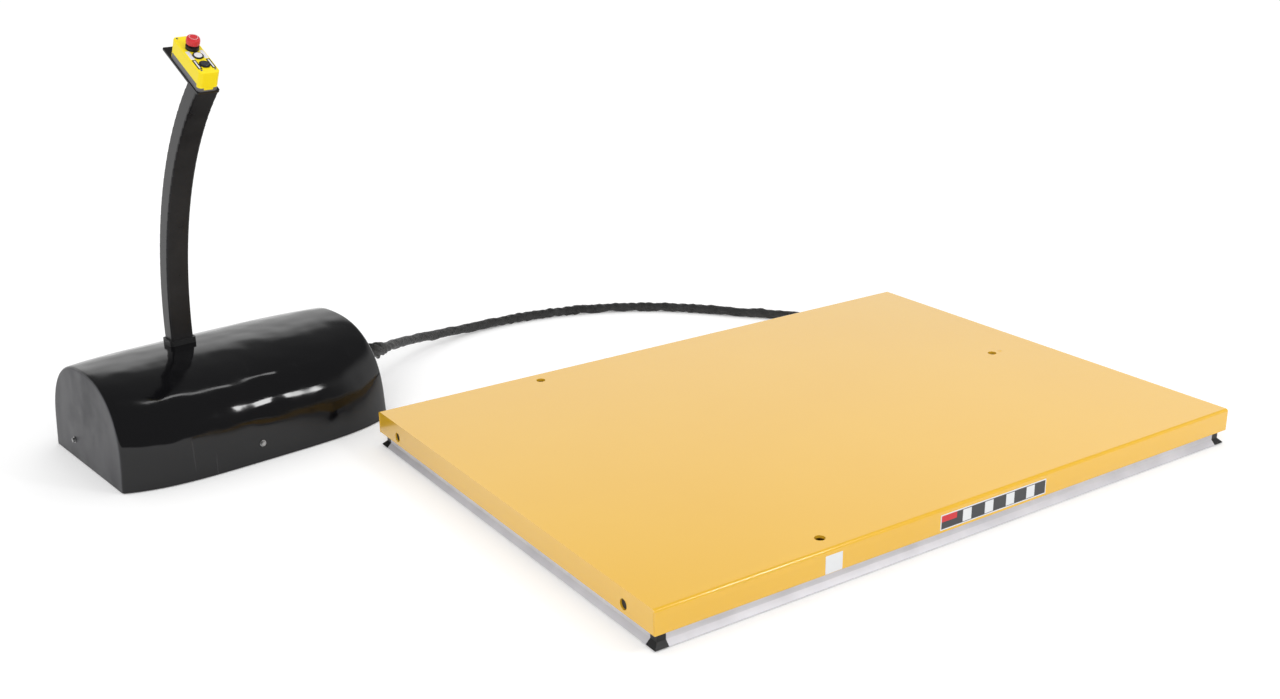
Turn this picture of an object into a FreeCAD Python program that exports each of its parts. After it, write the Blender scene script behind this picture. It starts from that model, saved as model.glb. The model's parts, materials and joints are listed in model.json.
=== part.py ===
import FreeCAD, Part
import math
import os

# Scissor lift table, lowered. Millimetres, +Z up, the floor at z = 0.
# The origin is on the floor under the middle of the deck, with the deck's long side along X.
# The power pack stands beside it, behind the deck's left end, and carries the control post.

# Deck and its skirts
deck_length = 1600.0
deck_width = 1140.0
closed_height = 85.0
deck_plate = 6.0
skirt_depth = 51.7
skirt_sheet = 4.0
bend_radius = 7.0
lifting_hole_radius = 11.0
lifting_hole_places = [(-388.0, -524.0), (-388.0, 524.0), (650.0, 15.0)]
side_hole_offset = 471.0
side_hole_height = 52.0
rib_reach = 560.0
rib_depth = 18.0
rib_sheet = 3.0
rib_bands = [(100.0, 140.0), (330.0, 370.0)]
track_start = 390.0
track_end = 740.0
track_width = 24.0

# Scissor linkage
pivot_spacing = 1380.0
base_pivot_height = 32.0
platform_pivot_height = 50.0
arm_depth = 46.0
arm_thickness = 15.0
outer_arm_inner_face = 485.0
inner_arm_inner_face = 450.0
pivot_pin_radius = 12.5
centre_pin_radius = 15.0
roller_radius = 26.0
roller_pin_radius = 10.0
top_roller_width = 20.0
bottom_roller_width = 22.0
roller_chamfer = 1.5
running_gap = 0.05
roller_gap = 0.3
side_gap = 1.0
lug_thickness = 10.0
lug_gap = 3.0
base_lug_half = 26.0
base_lug_radius = 21.0
platform_lug_half = 24.0
platform_lug_radius = 20.0
pin_head_radius = 17.0
pin_head_thickness = 4.0
centre_spacer_radius = 22.0
centre_head_radius = 20.0
centre_head_thickness = 5.0
roller_head_radius = 14.0

# Base frame
rail_length = 1500.0
rail_inner_edge = 415.0
rail_outer_edge = 529.0
rail_flange_sheet = 6.0
rail_flange_height = 38.0
anchor_x = 722.0
anchor_y = 475.0
anchor_radius = 6.0
cross_end_width = 45.0
cross_left_edge = -150.0
cross_right_edge = 40.0

# Hydraulic cylinders
cylinder_offset = 230.0
cylinder_foot = (-60.0, 26.0)
rod_pin_place = (200.0, 58.0)
cylinder_length = 254.82
cylinder_rise = 6.775
barrel_radius = 20.0
bore_radius = 15.0
rod_radius = 10.0
barrel_end = 200.0
barrel_start = 21.0
barrel_eye_radius = 18.0
barrel_neck = 14.0
bore_start = 34.0
gland_length = 22.0
piston_start = 60.0
piston_length = 24.0
eye_half_width = 12.0
cylinder_pin_radius = 8.0
cylinder_lug_gap = 0.5
cylinder_lug_thickness = 12.0
cylinder_pin_reach = 28.0
slot_reach = 7.4
slot_drop = 1.7
rod_head_wall = 6.0
rod_head_back = 8.0
cross_tube_radius = 20.0
cross_tube_wall = 4.0
rod_tube_place = 262.0
end_tube_place = 600.0

# Trip bar that hangs under the skirt
bar_recess = 12.0
bar_wall = 3.0
bar_top = 64.0
bar_bottom = 2.5
bar_flange = 14.0
bar_travel = 10.0
bar_lip_setback = 2.0
bar_notch_half = 30.0
bar_notch_top = 33.0
corner_leg = 32.0
guide_pin_radius = 3.5
guide_height = 42.0
guide_head_radius = 7.0
guide_pad_half = 15.0
guide_places_long = [-600.0, 0.0, 600.0]
guide_places_short = [-350.0, 350.0]
spring_radius = 5.0
spring_wall = 1.4
spring_places_long = [-540.0, 60.0, 540.0]
spring_place_short = 300.0
switch_start = -330.0
switch_length = 40.0
switch_depth = 20.0
switch_width = 20.0
switch_near = 534.0
lever_reach = 14.0
lever_sheet = 2.0

# Power pack, in its own frame: s along its length, v across it, z up
pack_corner = (-1402.6, 836.5)
pack_turn = 6.9
pack_length = 672.0
pack_half_end = 194.5
pack_half_middle = 241.0
pack_height = 230.5
pack_wall_height = 60.0
pack_end_lean = 13.6
pack_shell = 3.0
arch_power = 2.4
bulge_power = 4.0
pack_floor_gap = 2.0
cover_bolt_height = 46.0
cover_bolt_offset = 75.0
cover_bolt_share = 0.47
cover_washer_radius = 7.5
cover_washer_thickness = 1.5
cover_bolt_radius = 5.8
cover_bolt_head = 5.0

# Power unit inside the cover: boxes as (s0, s1, v0, v1, z0, z1)
pack_base_margin = 16.0
pack_base_half = 180.0
pack_base_corner = 12.0
pack_base_top = 8.0
motor_radius = 65.0
motor_start = 130.0
motor_length = 200.0
motor_v = -75.0
motor_height = 88.0
motor_foot = (160.0, 300.0, -120.0, -30.0, pack_base_top, 60.0)
motor_terminals = (190.0, 260.0, -110.0, -40.0, 140.0, 172.0)
fan_start = 112.0
fan_shaft_radius = 6.0
fan_hub_radius = 16.0
fan_hub_width = 12.0
fan_blade_reach = 56.0
fan_blade_width = 8.0
fan_blade_sheet = 4.0
fan_blades = 6
pump_box = (330.0, 400.0, -115.0, -35.0, pack_base_top, 130.0)
pump_port_s = 365.0
pump_port_radius = 9.0
pump_port_height = 40.0
valve_coil = (348.0, 382.0, -35.0, 10.0, 70.0, 104.0)
valve_stem_radius = 8.0
valve_stem_length = 22.0
tank_box = (420.0, 610.0, -135.0, 135.0, pack_base_top, 150.0)
tank_corner = 20.0
tank_neck = (560.0, 90.0)
tank_neck_radius = 22.0
tank_neck_height = 20.0
contactor_box = (60.0, 215.0, 50.0, 165.0, pack_base_top, 120.0)
contactor_corner = 4.0

# Control post and hand station
post_s = 267.0
post_v = 43.7
post_width = 53.0
post_depth = 40.0
post_wall = 2.5
post_corner = 4.0
post_arc_radius = 839.0
post_arc_start = 232.0
post_arc_turn = 49.3
post_foot_margin = 2.0
collar_reach = 5.0
collar_height = 13.0
collar_corner = 7.0
station_tilt = 28.2
station_side = -3.0
station_plate_length = 168.0
station_plate_width = 50.0
station_plate_thickness = 4.0
station_plate_corner = 3.0
station_overhang = 56.0
housing_start = -52.0
housing_end = 82.0
housing_width = 45.0
housing_top = 51.0
housing_wall = 2.5
housing_corner = 9.0
housing_top_radius = 3.0
joint_height = 19.0
joint_low_end = 13.0
joint_low_start = 72.0
joint_tab_height = 8.0
joint_tab_half = 10.0
joint_wrap_height = 7.0
joint_wrap_end = -44.0
stop_place = -5.0
stop_collar_radius = 14.0
stop_collar_height = 8.0
stop_gap = 4.5
stop_stem_radius = 5.0
stop_cap_radius = 14.5
stop_cap_height = 16.0
stop_cap_edge = 3.0
stop_socket = 7.0
up_button_place = 23.0
down_button_place = 54.0
button_radius = 8.5
button_hole_radius = 9.5
button_collar_radius = 11.3
button_collar_height = 2.5
button_height = 4.0
button_edge = 0.8
screw_inset = (8.0, 10.0)
screw_side = 15.0
screw_radius = 2.4
screw_height = 1.0

# Hose sleeve from the power pack to the base frame
sleeve_radius = 12.5
sleeve_exit_height = 100.0
gland_x = 640.0
gland_height = 16.0
gland_mouth = 545.0
gland_radius = 15.0
gland_bore = 5.0
sleeve_floor = 13.0
exit_gap = 6.0
grommet_wall = 5.0
grommet_flange = 10.0

# Steel oil pipe along the base frame
pipe_radius = 3.0
pipe_outer_lane = 512.0
pipe_inner_lane = 405.0
pipe_turn_x = 742.0
pipe_elbow = 6.0
pipe_gap = 0.2

# Sizes that follow from the driving ones
half_length = deck_length / 2
half_width = deck_width / 2
deck_under = closed_height - deck_plate
skirt_bottom = closed_height - skirt_depth
pivot_x = -pivot_spacing / 2
closed_tilt = math.degrees(math.asin((platform_pivot_height - base_pivot_height) / pivot_spacing))
centre_height = (base_pivot_height + platform_pivot_height) / 2
rail_thickness = base_pivot_height - roller_radius - roller_gap
track_bottom = platform_pivot_height + roller_radius + roller_gap
outer_arm_outer_face = outer_arm_inner_face + arm_thickness
inner_arm_outer_face = inner_arm_inner_face + arm_thickness
exit_setback = pack_end_lean * sleeve_exit_height / pack_height
stop_cap_base = housing_top + stop_collar_height + stop_gap
stop_cap_top = stop_cap_base + stop_cap_height
pipe_height = rail_thickness + pipe_radius + pipe_gap


def vec(x, y, z):
    return FreeCAD.Vector(x, y, z)


def block(x0, x1, y0, y1, z0, z1):
    return Part.makeBox(x1 - x0, y1 - y0, z1 - z0, vec(x0, y0, z0))


def rod_along_y(x, z, radius, y0, y1):
    return Part.makeCylinder(radius, y1 - y0, vec(x, y0, z), vec(0, 1, 0))


def rod_along_z(x, y, radius, z0, z1):
    return Part.makeCylinder(radius, z1 - z0, vec(x, y, z0))


def prism(points, reach):
    """A flat outline pushed along the vector reach."""
    corners = [vec(*point) for point in points]
    return Part.Face(Part.makePolygon(corners + corners[:1])).extrude(vec(*reach))


def fuse(shapes):
    whole = shapes[0]
    for shape in shapes[1:]:
        whole = whole.fuse(shape)
    return whole.removeSplitter()


def rounded(shape, edges_wanted, radius):
    """Rounds the edges that the test picks."""
    return shape.makeFillet(radius, [edge for edge in shape.Edges if edges_wanted(edge)])


def upright(edge):
    ends = [vertex.Point for vertex in edge.Vertexes]
    return len(ends) == 2 and abs(ends[0].z - ends[1].z) > 0.9 * edge.Length


def across(shape):
    """The same shape on the other side of the deck's long middle line."""
    return shape.mirror(vec(0, 0, 0), vec(0, 1, 0))


def lengthwise(shape):
    """The same shape at the other end of the deck."""
    return shape.mirror(vec(0, 0, 0), vec(1, 0, 0))


def both_sides(shape):
    return [shape, across(shape)]


def save(name, solids):
    """Writes one sub-part. A sub-part of several separate solids is a group."""
    shape = solids[0] if len(solids) == 1 else Part.makeCompound(solids)
    shape.exportStep("parts/%s.step" % name)


# Deck: a folded sheet with two long skirts, and a welded skirt at each end

def platform_deck():
    def folded(inset, radius):
        shell = block(-half_length, half_length, -half_width + inset, half_width - inset,
                      0, closed_height - (deck_plate if inset else 0))
        top = shell.BoundBox.ZMax
        return rounded(shell, lambda edge: edge.BoundBox.ZMin > top - 1
                       and edge.BoundBox.XLength > deck_length - 1, radius)
    deck = folded(0, bend_radius).cut(folded(skirt_sheet, bend_radius - skirt_sheet))
    deck = deck.cut(block(-half_length, half_length, -half_width, half_width, 0, skirt_bottom))
    for x, y in lifting_hole_places:
        deck = deck.cut(rod_along_z(x, y, lifting_hole_radius, deck_under - 1, closed_height + 1))
    return deck


def end_skirt():
    """The left end's skirt with its two side holes."""
    edge = half_width - skirt_sheet
    skirt = block(-half_length, -half_length + skirt_sheet, -edge, edge, skirt_bottom, deck_under)
    skirt = rounded(skirt, lambda e: e.BoundBox.ZMin > deck_under - 1 and e.BoundBox.YLength < 1
                    and e.BoundBox.XLength > 1, bend_radius - skirt_sheet)
    for y in (-side_hole_offset, side_hole_offset):
        hole = Part.makeCylinder(lifting_hole_radius, 3 * skirt_sheet,
                                 vec(-half_length - skirt_sheet, y, side_hole_height), vec(1, 0, 0))
        skirt = skirt.cut(hole)
    return skirt


def platform_ribs():
    """Four flat stiffening channels under the deck."""
    ribs = []
    for y0, y1 in rib_bands:
        rib = block(-rib_reach, rib_reach, y0, y1, deck_under - rib_depth, deck_under)
        rib = rib.cut(block(-rib_reach - 1, rib_reach + 1, y0 + rib_sheet, y1 - rib_sheet,
                            deck_under - rib_depth + rib_sheet, deck_under + 1))
        ribs += both_sides(rib)
    return ribs


def platform_pivots():
    """Lug and pin that hold each inner arm under the deck's left end."""
    far = inner_arm_inner_face - lug_gap
    near = far - lug_thickness
    lug = block(pivot_x - platform_lug_half, pivot_x + platform_lug_half, near, far,
                platform_pivot_height, deck_under)
    lug = lug.fuse(rod_along_y(pivot_x, platform_pivot_height, platform_lug_radius, near, far))
    head_start = inner_arm_outer_face + side_gap
    pin = rod_along_y(pivot_x, platform_pivot_height, pivot_pin_radius, near, head_start + side_gap)
    head = rod_along_y(pivot_x, platform_pivot_height, pin_head_radius, head_start,
                       head_start + pin_head_thickness)
    return both_sides(fuse([lug, pin, head]))


def top_tracks():
    track = block(track_start, track_end, outer_arm_outer_face, outer_arm_outer_face + track_width,
                  track_bottom, deck_under)
    return both_sides(track)


# Base frame on the floor

def base_rail():
    """The rear rail: a track plate with an upright outer flange and floor anchor holes."""
    half = rail_length / 2
    plate = block(-half, half, rail_inner_edge, rail_outer_edge, 0, rail_thickness)
    flange = block(-half, half, rail_outer_edge - rail_flange_sheet, rail_outer_edge,
                   rail_thickness, rail_flange_height)
    rail = fuse([plate, flange])
    for x in (-anchor_x, anchor_x):
        rail = rail.cut(rod_along_z(x, anchor_y, anchor_radius, -1, rail_thickness + 1))
    return rail


def base_cross_ends():
    bar = block(-rail_length / 2, -rail_length / 2 + cross_end_width, -rail_inner_edge, rail_inner_edge,
                0, rail_thickness)
    return [bar, lengthwise(bar)]


def base_cross_middle():
    return block(cross_left_edge, cross_right_edge, -rail_inner_edge, rail_inner_edge, 0, rail_thickness)


def base_pivots():
    """Lug and pin that hold each outer arm at the base frame's left end."""
    near = outer_arm_outer_face + lug_gap
    far = near + lug_thickness
    lug = block(pivot_x - base_lug_half, pivot_x + base_lug_half, near, far,
                rail_thickness, base_pivot_height)
    lug = lug.fuse(rod_along_y(pivot_x, base_pivot_height, base_lug_radius, near, far))
    head_end = outer_arm_inner_face - side_gap
    pin = rod_along_y(pivot_x, base_pivot_height, pivot_pin_radius, head_end - side_gap, far)
    head = rod_along_y(pivot_x, base_pivot_height, pin_head_radius, head_end - pin_head_thickness,
                       head_end)
    return both_sides(fuse([lug, pin, head]))


# Scissor arms

def arm(near, holes):
    """A flat bar with round ends along X from the origin, its holes as (distance, radius)."""
    half = arm_depth / 2
    bar = block(0, pivot_spacing, near, near + arm_thickness, -half, half)
    for x in (0, pivot_spacing):
        bar = bar.fuse(rod_along_y(x, 0, half, near, near + arm_thickness))
    bar = bar.removeSplitter()
    for x, radius in holes:
        bar = bar.cut(rod_along_y(x, 0, radius, near - 1, near + arm_thickness + 1))
    return bar


def tilted(shape, start_height, rise):
    """Puts an arm at the left pivot line, rising towards its right end by the given angle."""
    shape = shape.copy()
    shape.Placement = FreeCAD.Placement(vec(pivot_x, 0, start_height),
                                        FreeCAD.Rotation(vec(0, -1, 0), rise))
    return shape


def outer_arm():
    holes = [(0, pivot_pin_radius + running_gap), (pivot_spacing / 2, centre_pin_radius),
             (pivot_spacing, roller_pin_radius)]
    return tilted(arm(outer_arm_inner_face, holes), base_pivot_height, closed_tilt)


def inner_arm():
    holes = [(0, pivot_pin_radius + running_gap), (pivot_spacing / 2, centre_pin_radius + running_gap),
             (pivot_spacing, roller_pin_radius)]
    return tilted(arm(inner_arm_inner_face, holes), platform_pivot_height, -closed_tilt)


def arm_centre():
    return pivot_x + pivot_spacing / 2 * math.cos(math.radians(closed_tilt))


def right_end():
    return pivot_x + pivot_spacing * math.cos(math.radians(closed_tilt))


def outer_arm_pins():
    """Centre pins through both arms, and the pins of the upper rollers."""
    x, z = arm_centre(), centre_height
    head_end = inner_arm_inner_face - side_gap
    centre = fuse([
        rod_along_y(x, z, centre_pin_radius, head_end - side_gap, outer_arm_outer_face),
        rod_along_y(x, z, centre_spacer_radius, inner_arm_outer_face + side_gap, outer_arm_inner_face),
        rod_along_y(x, z, centre_head_radius, head_end - centre_head_thickness, head_end)])
    x, z = right_end(), platform_pivot_height
    wheel_end = outer_arm_outer_face + side_gap + top_roller_width
    roller = fuse([rod_along_y(x, z, roller_pin_radius, outer_arm_inner_face, wheel_end + 0.5),
                   rod_along_y(x, z, roller_head_radius, wheel_end + 0.2, wheel_end + 1.6)])
    return both_sides(centre) + both_sides(roller)


def bottom_roller_pins():
    x, z = right_end(), base_pivot_height
    wheel_end = inner_arm_inner_face - 2 * side_gap - bottom_roller_width
    pin = fuse([rod_along_y(x, z, roller_pin_radius, wheel_end - 1, inner_arm_outer_face),
                rod_along_y(x, z, roller_head_radius, wheel_end - 3, wheel_end - 0.5)])
    return both_sides(pin)


def roller(near, far, height):
    """A wheel with chamfered rims, turning on its pin."""
    x = right_end()
    wheel = rod_along_y(x, height, roller_radius, near, far)
    wheel = wheel.makeChamfer(roller_chamfer, [e for e in wheel.Edges if isinstance(e.Curve, Part.Circle)
                                    and len(e.Vertexes) == 1])
    return wheel.cut(rod_along_y(x, height, roller_pin_radius + running_gap, near - 1, far + 1))


def cross_tube(x):
    """A round tube between the inner arms, on their middle line."""
    z = centre_height - (x - arm_centre()) * math.tan(math.radians(closed_tilt))
    y = inner_arm_inner_face
    return rod_along_y(x, z, cross_tube_radius, -y, y).cut(
        rod_along_y(x, z, cross_tube_radius - cross_tube_wall, -y, y))


def lug_faces():
    """Where the two lugs beside a cylinder's eye start along Y."""
    gap = eye_half_width + cylinder_lug_gap
    return cylinder_offset - gap - cylinder_lug_thickness, cylinder_offset + gap


def rod_lugs():
    """A pair of lugs with their pin on the middle tube for each cylinder's rod end."""
    x, z = rod_pin_place
    tube = cross_tube(rod_tube_place)
    tube_z = tube.BoundBox.Center.z
    radius = cylinder_pin_radius + 6
    slope = math.atan2(tube_z - z, rod_tube_place - x)
    dx, dz = -math.sin(slope), math.cos(slope)
    lugs = []
    for near in lug_faces():
        web = prism([(x + dx * radius, near, z + dz * radius),
                     (rod_tube_place + dx * radius, near, tube_z + dz * radius),
                     (rod_tube_place - dx * radius, near, tube_z - dz * radius),
                     (x - dx * radius, near, z - dz * radius)], (0, cylinder_lug_thickness, 0))
        lugs.append(web.fuse(rod_along_y(x, z, radius, near, near + cylinder_lug_thickness)))
    pin = rod_along_y(x, z, cylinder_pin_radius, cylinder_offset - cylinder_pin_reach,
                      cylinder_offset + cylinder_pin_reach)
    solid = fuse(lugs + [pin])
    solid = solid.cut(rod_along_y(rod_tube_place, tube_z, cross_tube_radius, -inner_arm_inner_face,
                                  inner_arm_inner_face))
    return both_sides(solid)


# Hydraulic cylinders, built along X from the foot pin and then raised to their resting slope

def on_cylinder(shape):
    shape = shape.copy()
    shape.Placement = FreeCAD.Placement(vec(cylinder_foot[0], cylinder_offset, cylinder_foot[1]),
                                        FreeCAD.Rotation(vec(0, -1, 0), cylinder_rise))
    return shape


def along_x(radius, x0, x1):
    return Part.makeCylinder(radius, x1 - x0, vec(x0, 0, 0), vec(1, 0, 0))


def cylinder_barrels():
    half = eye_half_width
    eye = rod_along_y(0, 0, barrel_eye_radius, -half, half)
    neck = block(0, barrel_start + 5, -half, half, -barrel_neck, barrel_neck)
    body = fuse([eye, neck, along_x(barrel_radius, barrel_start, barrel_end)])
    bore_end = barrel_end - gland_length
    body = body.cut(along_x(bore_radius, bore_start, bore_end))
    body = body.cut(along_x(rod_radius + running_gap, bore_end - 1, barrel_end + 1))
    body = body.cut(rod_along_y(0, 0, cylinder_pin_radius + running_gap, -half - 1, half + 1))
    return both_sides(on_cylinder(body))


def cylinder_rods():
    """Piston, rod and slotted rod end. The slot takes up the pin's play over the travel."""
    centre = cylinder_length
    half = eye_half_width
    reach = cylinder_pin_radius + slot_reach
    rise = cylinder_pin_radius + slot_drop
    piston = along_x(bore_radius - running_gap, piston_start, piston_start + piston_length)
    rod = along_x(rod_radius, piston_start + 1, centre - reach - 1)
    head = block(centre - reach - rod_head_back, centre + reach + rod_head_wall, -half, half,
                 -rise - rod_head_wall, rise + rod_head_wall)
    head = rounded(head, lambda e: e.BoundBox.YLength > half, cylinder_pin_radius)
    slot = rounded(block(centre - reach, centre + reach, -half - 1, half + 1, -rise, rise),
                   lambda e: e.BoundBox.YLength > half, cylinder_pin_radius)
    solid = fuse([piston, rod, head]).cut(slot)
    return both_sides(on_cylinder(solid))


def cylinder_anchors():
    """A pair of lugs with their pin on the middle cross member for each cylinder's foot."""
    x, z = cylinder_foot
    radius = barrel_eye_radius
    parts = [rod_along_y(x, z, cylinder_pin_radius, cylinder_offset - cylinder_pin_reach + 1,
                         cylinder_offset + cylinder_pin_reach - 1)]
    for near in lug_faces():
        far = near + cylinder_lug_thickness
        lug = block(x - radius, x + radius, near, far, rail_thickness, z)
        parts.append(lug.fuse(rod_along_y(x, z, radius, near, far)))
    return both_sides(fuse(parts))


# Trip bar: a flared section that hangs under the skirt and switches the lift off when touched

def bar_profile(x):
    """The front bar's section at x, as points from its top."""
    web = -half_width + bar_recess
    lip = -half_width + bar_lip_setback
    bend = bar_bottom + web - lip
    inner = web + bar_wall
    flange = inner + bar_flange
    lip_wall = math.sqrt(2) * bar_wall
    bend_drop = (math.sqrt(2) - 1) * bar_wall
    return [(x, web, bar_top), (x, web, bend), (x, lip, bar_bottom), (x, lip + lip_wall, bar_bottom),
            (x, inner, bend - bend_drop), (x, inner, bar_top - bar_wall),
            (x, flange, bar_top - bar_wall), (x, flange, bar_top)]


def guide_slot(x):
    """The slot that lets the front bar rise round a guide pin."""
    y0, y1 = -half_width + bar_recess - 1, -half_width + bar_recess + bar_wall + 1
    width = guide_pin_radius + 0.4
    low, high = guide_height - bar_travel, guide_height
    slot = block(x - width, x + width, y0, y1, low, high)
    return slot.fuse(rod_along_y(x, low, width, y0, y1)).fuse(rod_along_y(x, high, width, y0, y1))


def trip_bar_front():
    reach = half_length - corner_leg
    bar = prism(bar_profile(-reach), (2 * reach, 0, 0))
    for x in guide_places_long:
        bar = bar.cut(guide_slot(x))
    return bar


def trip_bar_rear():
    """The rear bar has a notch that the hose sleeve passes through."""
    notch = block(gland_x - bar_notch_half, gland_x + bar_notch_half, half_width - 40, half_width + 1,
                  0, bar_notch_top)
    return across(trip_bar_front()).cut(notch)


def turned_to_end(shape):
    """Moves a piece of the front side to the left end of the deck, keeping its distance from the edge."""
    shape = shape.copy()
    shape.rotate(vec(0, 0, 0), vec(0, 0, 1), -90)
    shape.translate(vec(-half_length + half_width, 0, 0))
    return shape


def trip_bar_ends():
    reach = half_width - corner_leg
    bar = prism(bar_profile(-reach), (2 * reach, 0, 0))
    for x in guide_places_short:
        bar = bar.cut(guide_slot(x))
    bar = turned_to_end(bar)
    return [bar, lengthwise(bar)]


def trip_bar_corners():
    """Mitred corner pieces with the bar's own section."""
    leg = corner_leg
    corner = (-half_length, -half_width)
    front = prism(bar_profile(-half_length), (leg, 0, 0))
    front = front.common(prism([(corner[0], corner[1], 0), (corner[0] + leg, corner[1], 0),
                                (corner[0] + leg, corner[1] + leg, 0)], (0, 0, closed_height)))
    side = front.mirror(vec(*corner, 0), vec(1, -1, 0))
    piece = fuse([front, side])
    return both_sides(piece) + both_sides(lengthwise(piece))


def bar_guides():
    """Blocks on the skirt's inner face whose headed pins carry the trip bar."""
    def guide(x):
        web = -half_width + bar_recess
        pad = block(x - guide_pad_half, x + guide_pad_half, -half_width + skirt_sheet, web - 0.5,
                    guide_height - 8, deck_under - 4)
        pin = rod_along_y(x, guide_height, guide_pin_radius, web - 1, web + bar_wall + 1)
        head = rod_along_y(x, guide_height, guide_head_radius, web + bar_wall + 0.5, web + bar_wall + 5)
        return fuse([pad, pin, head])

    guides = []
    for x in guide_places_long:
        guides += both_sides(guide(x))
    for x in guide_places_short:
        end_guide = turned_to_end(guide(x))
        guides += [end_guide, lengthwise(end_guide)]
    return guides


def trip_springs():
    """Short springs, as sleeves, that press the trip bar down from the deck."""
    def spring(x):
        y = -half_width + bar_recess + bar_wall + bar_flange / 2
        return rod_along_z(x, y, spring_radius, bar_top, deck_under).cut(
            rod_along_z(x, y, spring_radius - spring_wall, bar_top, deck_under))

    springs = []
    for x in spring_places_long:
        springs += both_sides(spring(x))
    end_spring = turned_to_end(spring(spring_place_short))
    springs += both_sides(end_spring) + both_sides(lengthwise(end_spring))
    return springs


def trip_switches():
    """A limit switch under the deck beside each long trip bar, its lever over the bar's flange."""
    end = switch_start + switch_length
    body = block(switch_start, end, -switch_near, -switch_near + switch_width,
                 deck_under - switch_depth, deck_under)
    lever = block(switch_start + 4, end - 4, -switch_near - lever_reach, -switch_near,
                  deck_under - lever_sheet - 1, deck_under - 1)
    return both_sides(fuse([body, lever]))


# Power pack

def on_pack(shape):
    shape = shape.copy()
    shape.Placement = FreeCAD.Placement(vec(pack_corner[0], pack_corner[1], 0),
                                        FreeCAD.Rotation(vec(0, 0, 1), pack_turn)).multiply(shape.Placement)
    return shape


def cover_section(share, inset, bottom):
    """The cover's outline at a share of its length, drawn in by inset, as a closed wire."""
    half = cover_half_width(share) - inset
    wall = pack_wall_height
    rise = pack_height - inset - wall

    def place(v, z):
        lean = (pack_end_lean * z / pack_height + inset) * (1 - 2 * share)
        return vec(share * pack_length + lean, v, z)

    steps = 16
    arch = []
    for step in range(steps + 1):
        angle = math.pi * step / steps
        across_part = math.copysign(abs(math.cos(angle)) ** (2 / arch_power), math.cos(angle))
        up_part = math.sin(angle) ** (2 / arch_power) if 0 < step < steps else 0
        arch.append(place(half * across_part, wall + rise * up_part))
    curve = Part.BSplineCurve()
    curve.interpolate(arch)
    low_right, low_left = place(half, bottom), place(-half, bottom)
    edges = [Part.LineSegment(low_right, arch[0]).toShape(), curve.toShape(),
             Part.LineSegment(arch[-1], low_left).toShape(),
             Part.LineSegment(low_left, low_right).toShape()]
    return Part.Wire(edges)


def cover_body(inset, bottom):
    shares = [0.0, 0.08, 0.22, 0.5, 0.78, 0.92, 1.0]
    return Part.makeLoft([cover_section(share, inset, bottom) for share in shares], True, False)


def pack_cover(outer):
    shell = outer.cut(cover_body(pack_shell, -1))
    reach_s, reach_v = post_width / 2 + post_foot_margin, post_depth / 2 + post_foot_margin
    shell = shell.cut(block(post_s - reach_s, post_s + reach_s, post_v - reach_v, post_v + reach_v,
                            pack_height - 60, pack_height + 20))
    return shell.cut(along_sleeve_exit(sleeve_radius + grommet_wall, -40, 20))


def along_sleeve_exit(radius, before, after):
    """A cylinder on the sleeve's way out of the cover's right end, measured from that end."""
    start = pack_length - exit_setback + before
    return Part.makeCylinder(radius, after - before, vec(start, 0, sleeve_exit_height), vec(1, 0, 0))


def hose_grommet():
    """A flanged rubber ring that lines the cover's hose hole."""
    lining = along_sleeve_exit(sleeve_radius + grommet_wall, -8, exit_gap)
    flange = along_sleeve_exit(sleeve_radius + grommet_flange, 1.5, exit_gap)
    return fuse([lining, flange]).cut(along_sleeve_exit(sleeve_radius, -9, exit_gap + 1))


def post_section(width, depth, corner, z):
    """The post's outline as a face that lies flat at height z."""
    tube = block(post_s - width / 2, post_s + width / 2, post_v - depth / 2, post_v + depth / 2, z, z + 1)
    tube = rounded(tube, upright, corner)
    return [face for face in tube.Faces if face.BoundBox.ZMax < z + 0.5][0]


def post_body(width, depth, corner, foot):
    straight = post_section(width, depth, corner, foot).extrude(vec(0, 0, post_arc_start - foot))
    bent = post_section(width, depth, corner, post_arc_start).revolve(
        vec(post_s, post_v - post_arc_radius, post_arc_start), vec(1, 0, 0), post_arc_turn + 4)
    return straight.fuse(bent)


def control_post():
    """A rectangular tube, upright inside the cover and bowed towards the operator above it."""
    outer = post_body(post_width, post_depth, post_corner, pack_base_top)
    inner = post_body(post_width - 2 * post_wall, post_depth - 2 * post_wall,
                      post_corner - post_wall, pack_base_top)
    above = block(-400, 400, -200, 200, 0, 200)
    return outer.cut(inner).cut(on_station(above)).removeSplitter()


def post_collar(outer):
    """The moulded collar that seals the post where it leaves the cover."""
    reach_s, reach_v = post_width / 2 + collar_reach, post_depth / 2 + collar_reach
    collar = block(post_s - reach_s, post_s + reach_s, post_v - reach_v, post_v + reach_v,
                   pack_height - 20, pack_height + collar_height)
    collar = rounded(collar, upright, collar_corner)
    collar = collar.cut(post_body(post_width, post_depth, post_corner, pack_base_top))
    return collar.cut(outer)


def pack_base():
    plate = block(pack_base_margin, pack_length - pack_base_margin, -pack_base_half, pack_base_half,
                  0, pack_base_top)
    return rounded(plate, upright, pack_base_corner)


def on_motor_line(radius, start, length):
    return Part.makeCylinder(radius, length, vec(start, motor_v, motor_height), vec(1, 0, 0))


def pack_motor():
    """Motor body with its foot, terminal box and free shaft end."""
    return fuse([on_motor_line(motor_radius, motor_start, motor_length), block(*motor_foot),
                 block(*motor_terminals),
                 on_motor_line(fan_shaft_radius, fan_start, motor_start - fan_start)])


def pack_fan():
    """Cooling fan on the motor's free shaft end."""
    parts = [on_motor_line(fan_hub_radius, fan_start, fan_hub_width)]
    for step in range(fan_blades):
        half = fan_blade_sheet / 2
        blade = block(fan_start + 2, fan_start + 2 + fan_blade_width, -half, half,
                      fan_hub_radius - 4, fan_blade_reach)
        blade.rotate(vec(0, 0, 0), vec(1, 0, 0), 360 / fan_blades * step)
        blade.translate(vec(0, motor_v, motor_height))
        parts.append(blade)
    return fuse(parts).cut(on_motor_line(fan_shaft_radius + running_gap, fan_start - 1,
                                         fan_hub_width + 2))


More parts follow.
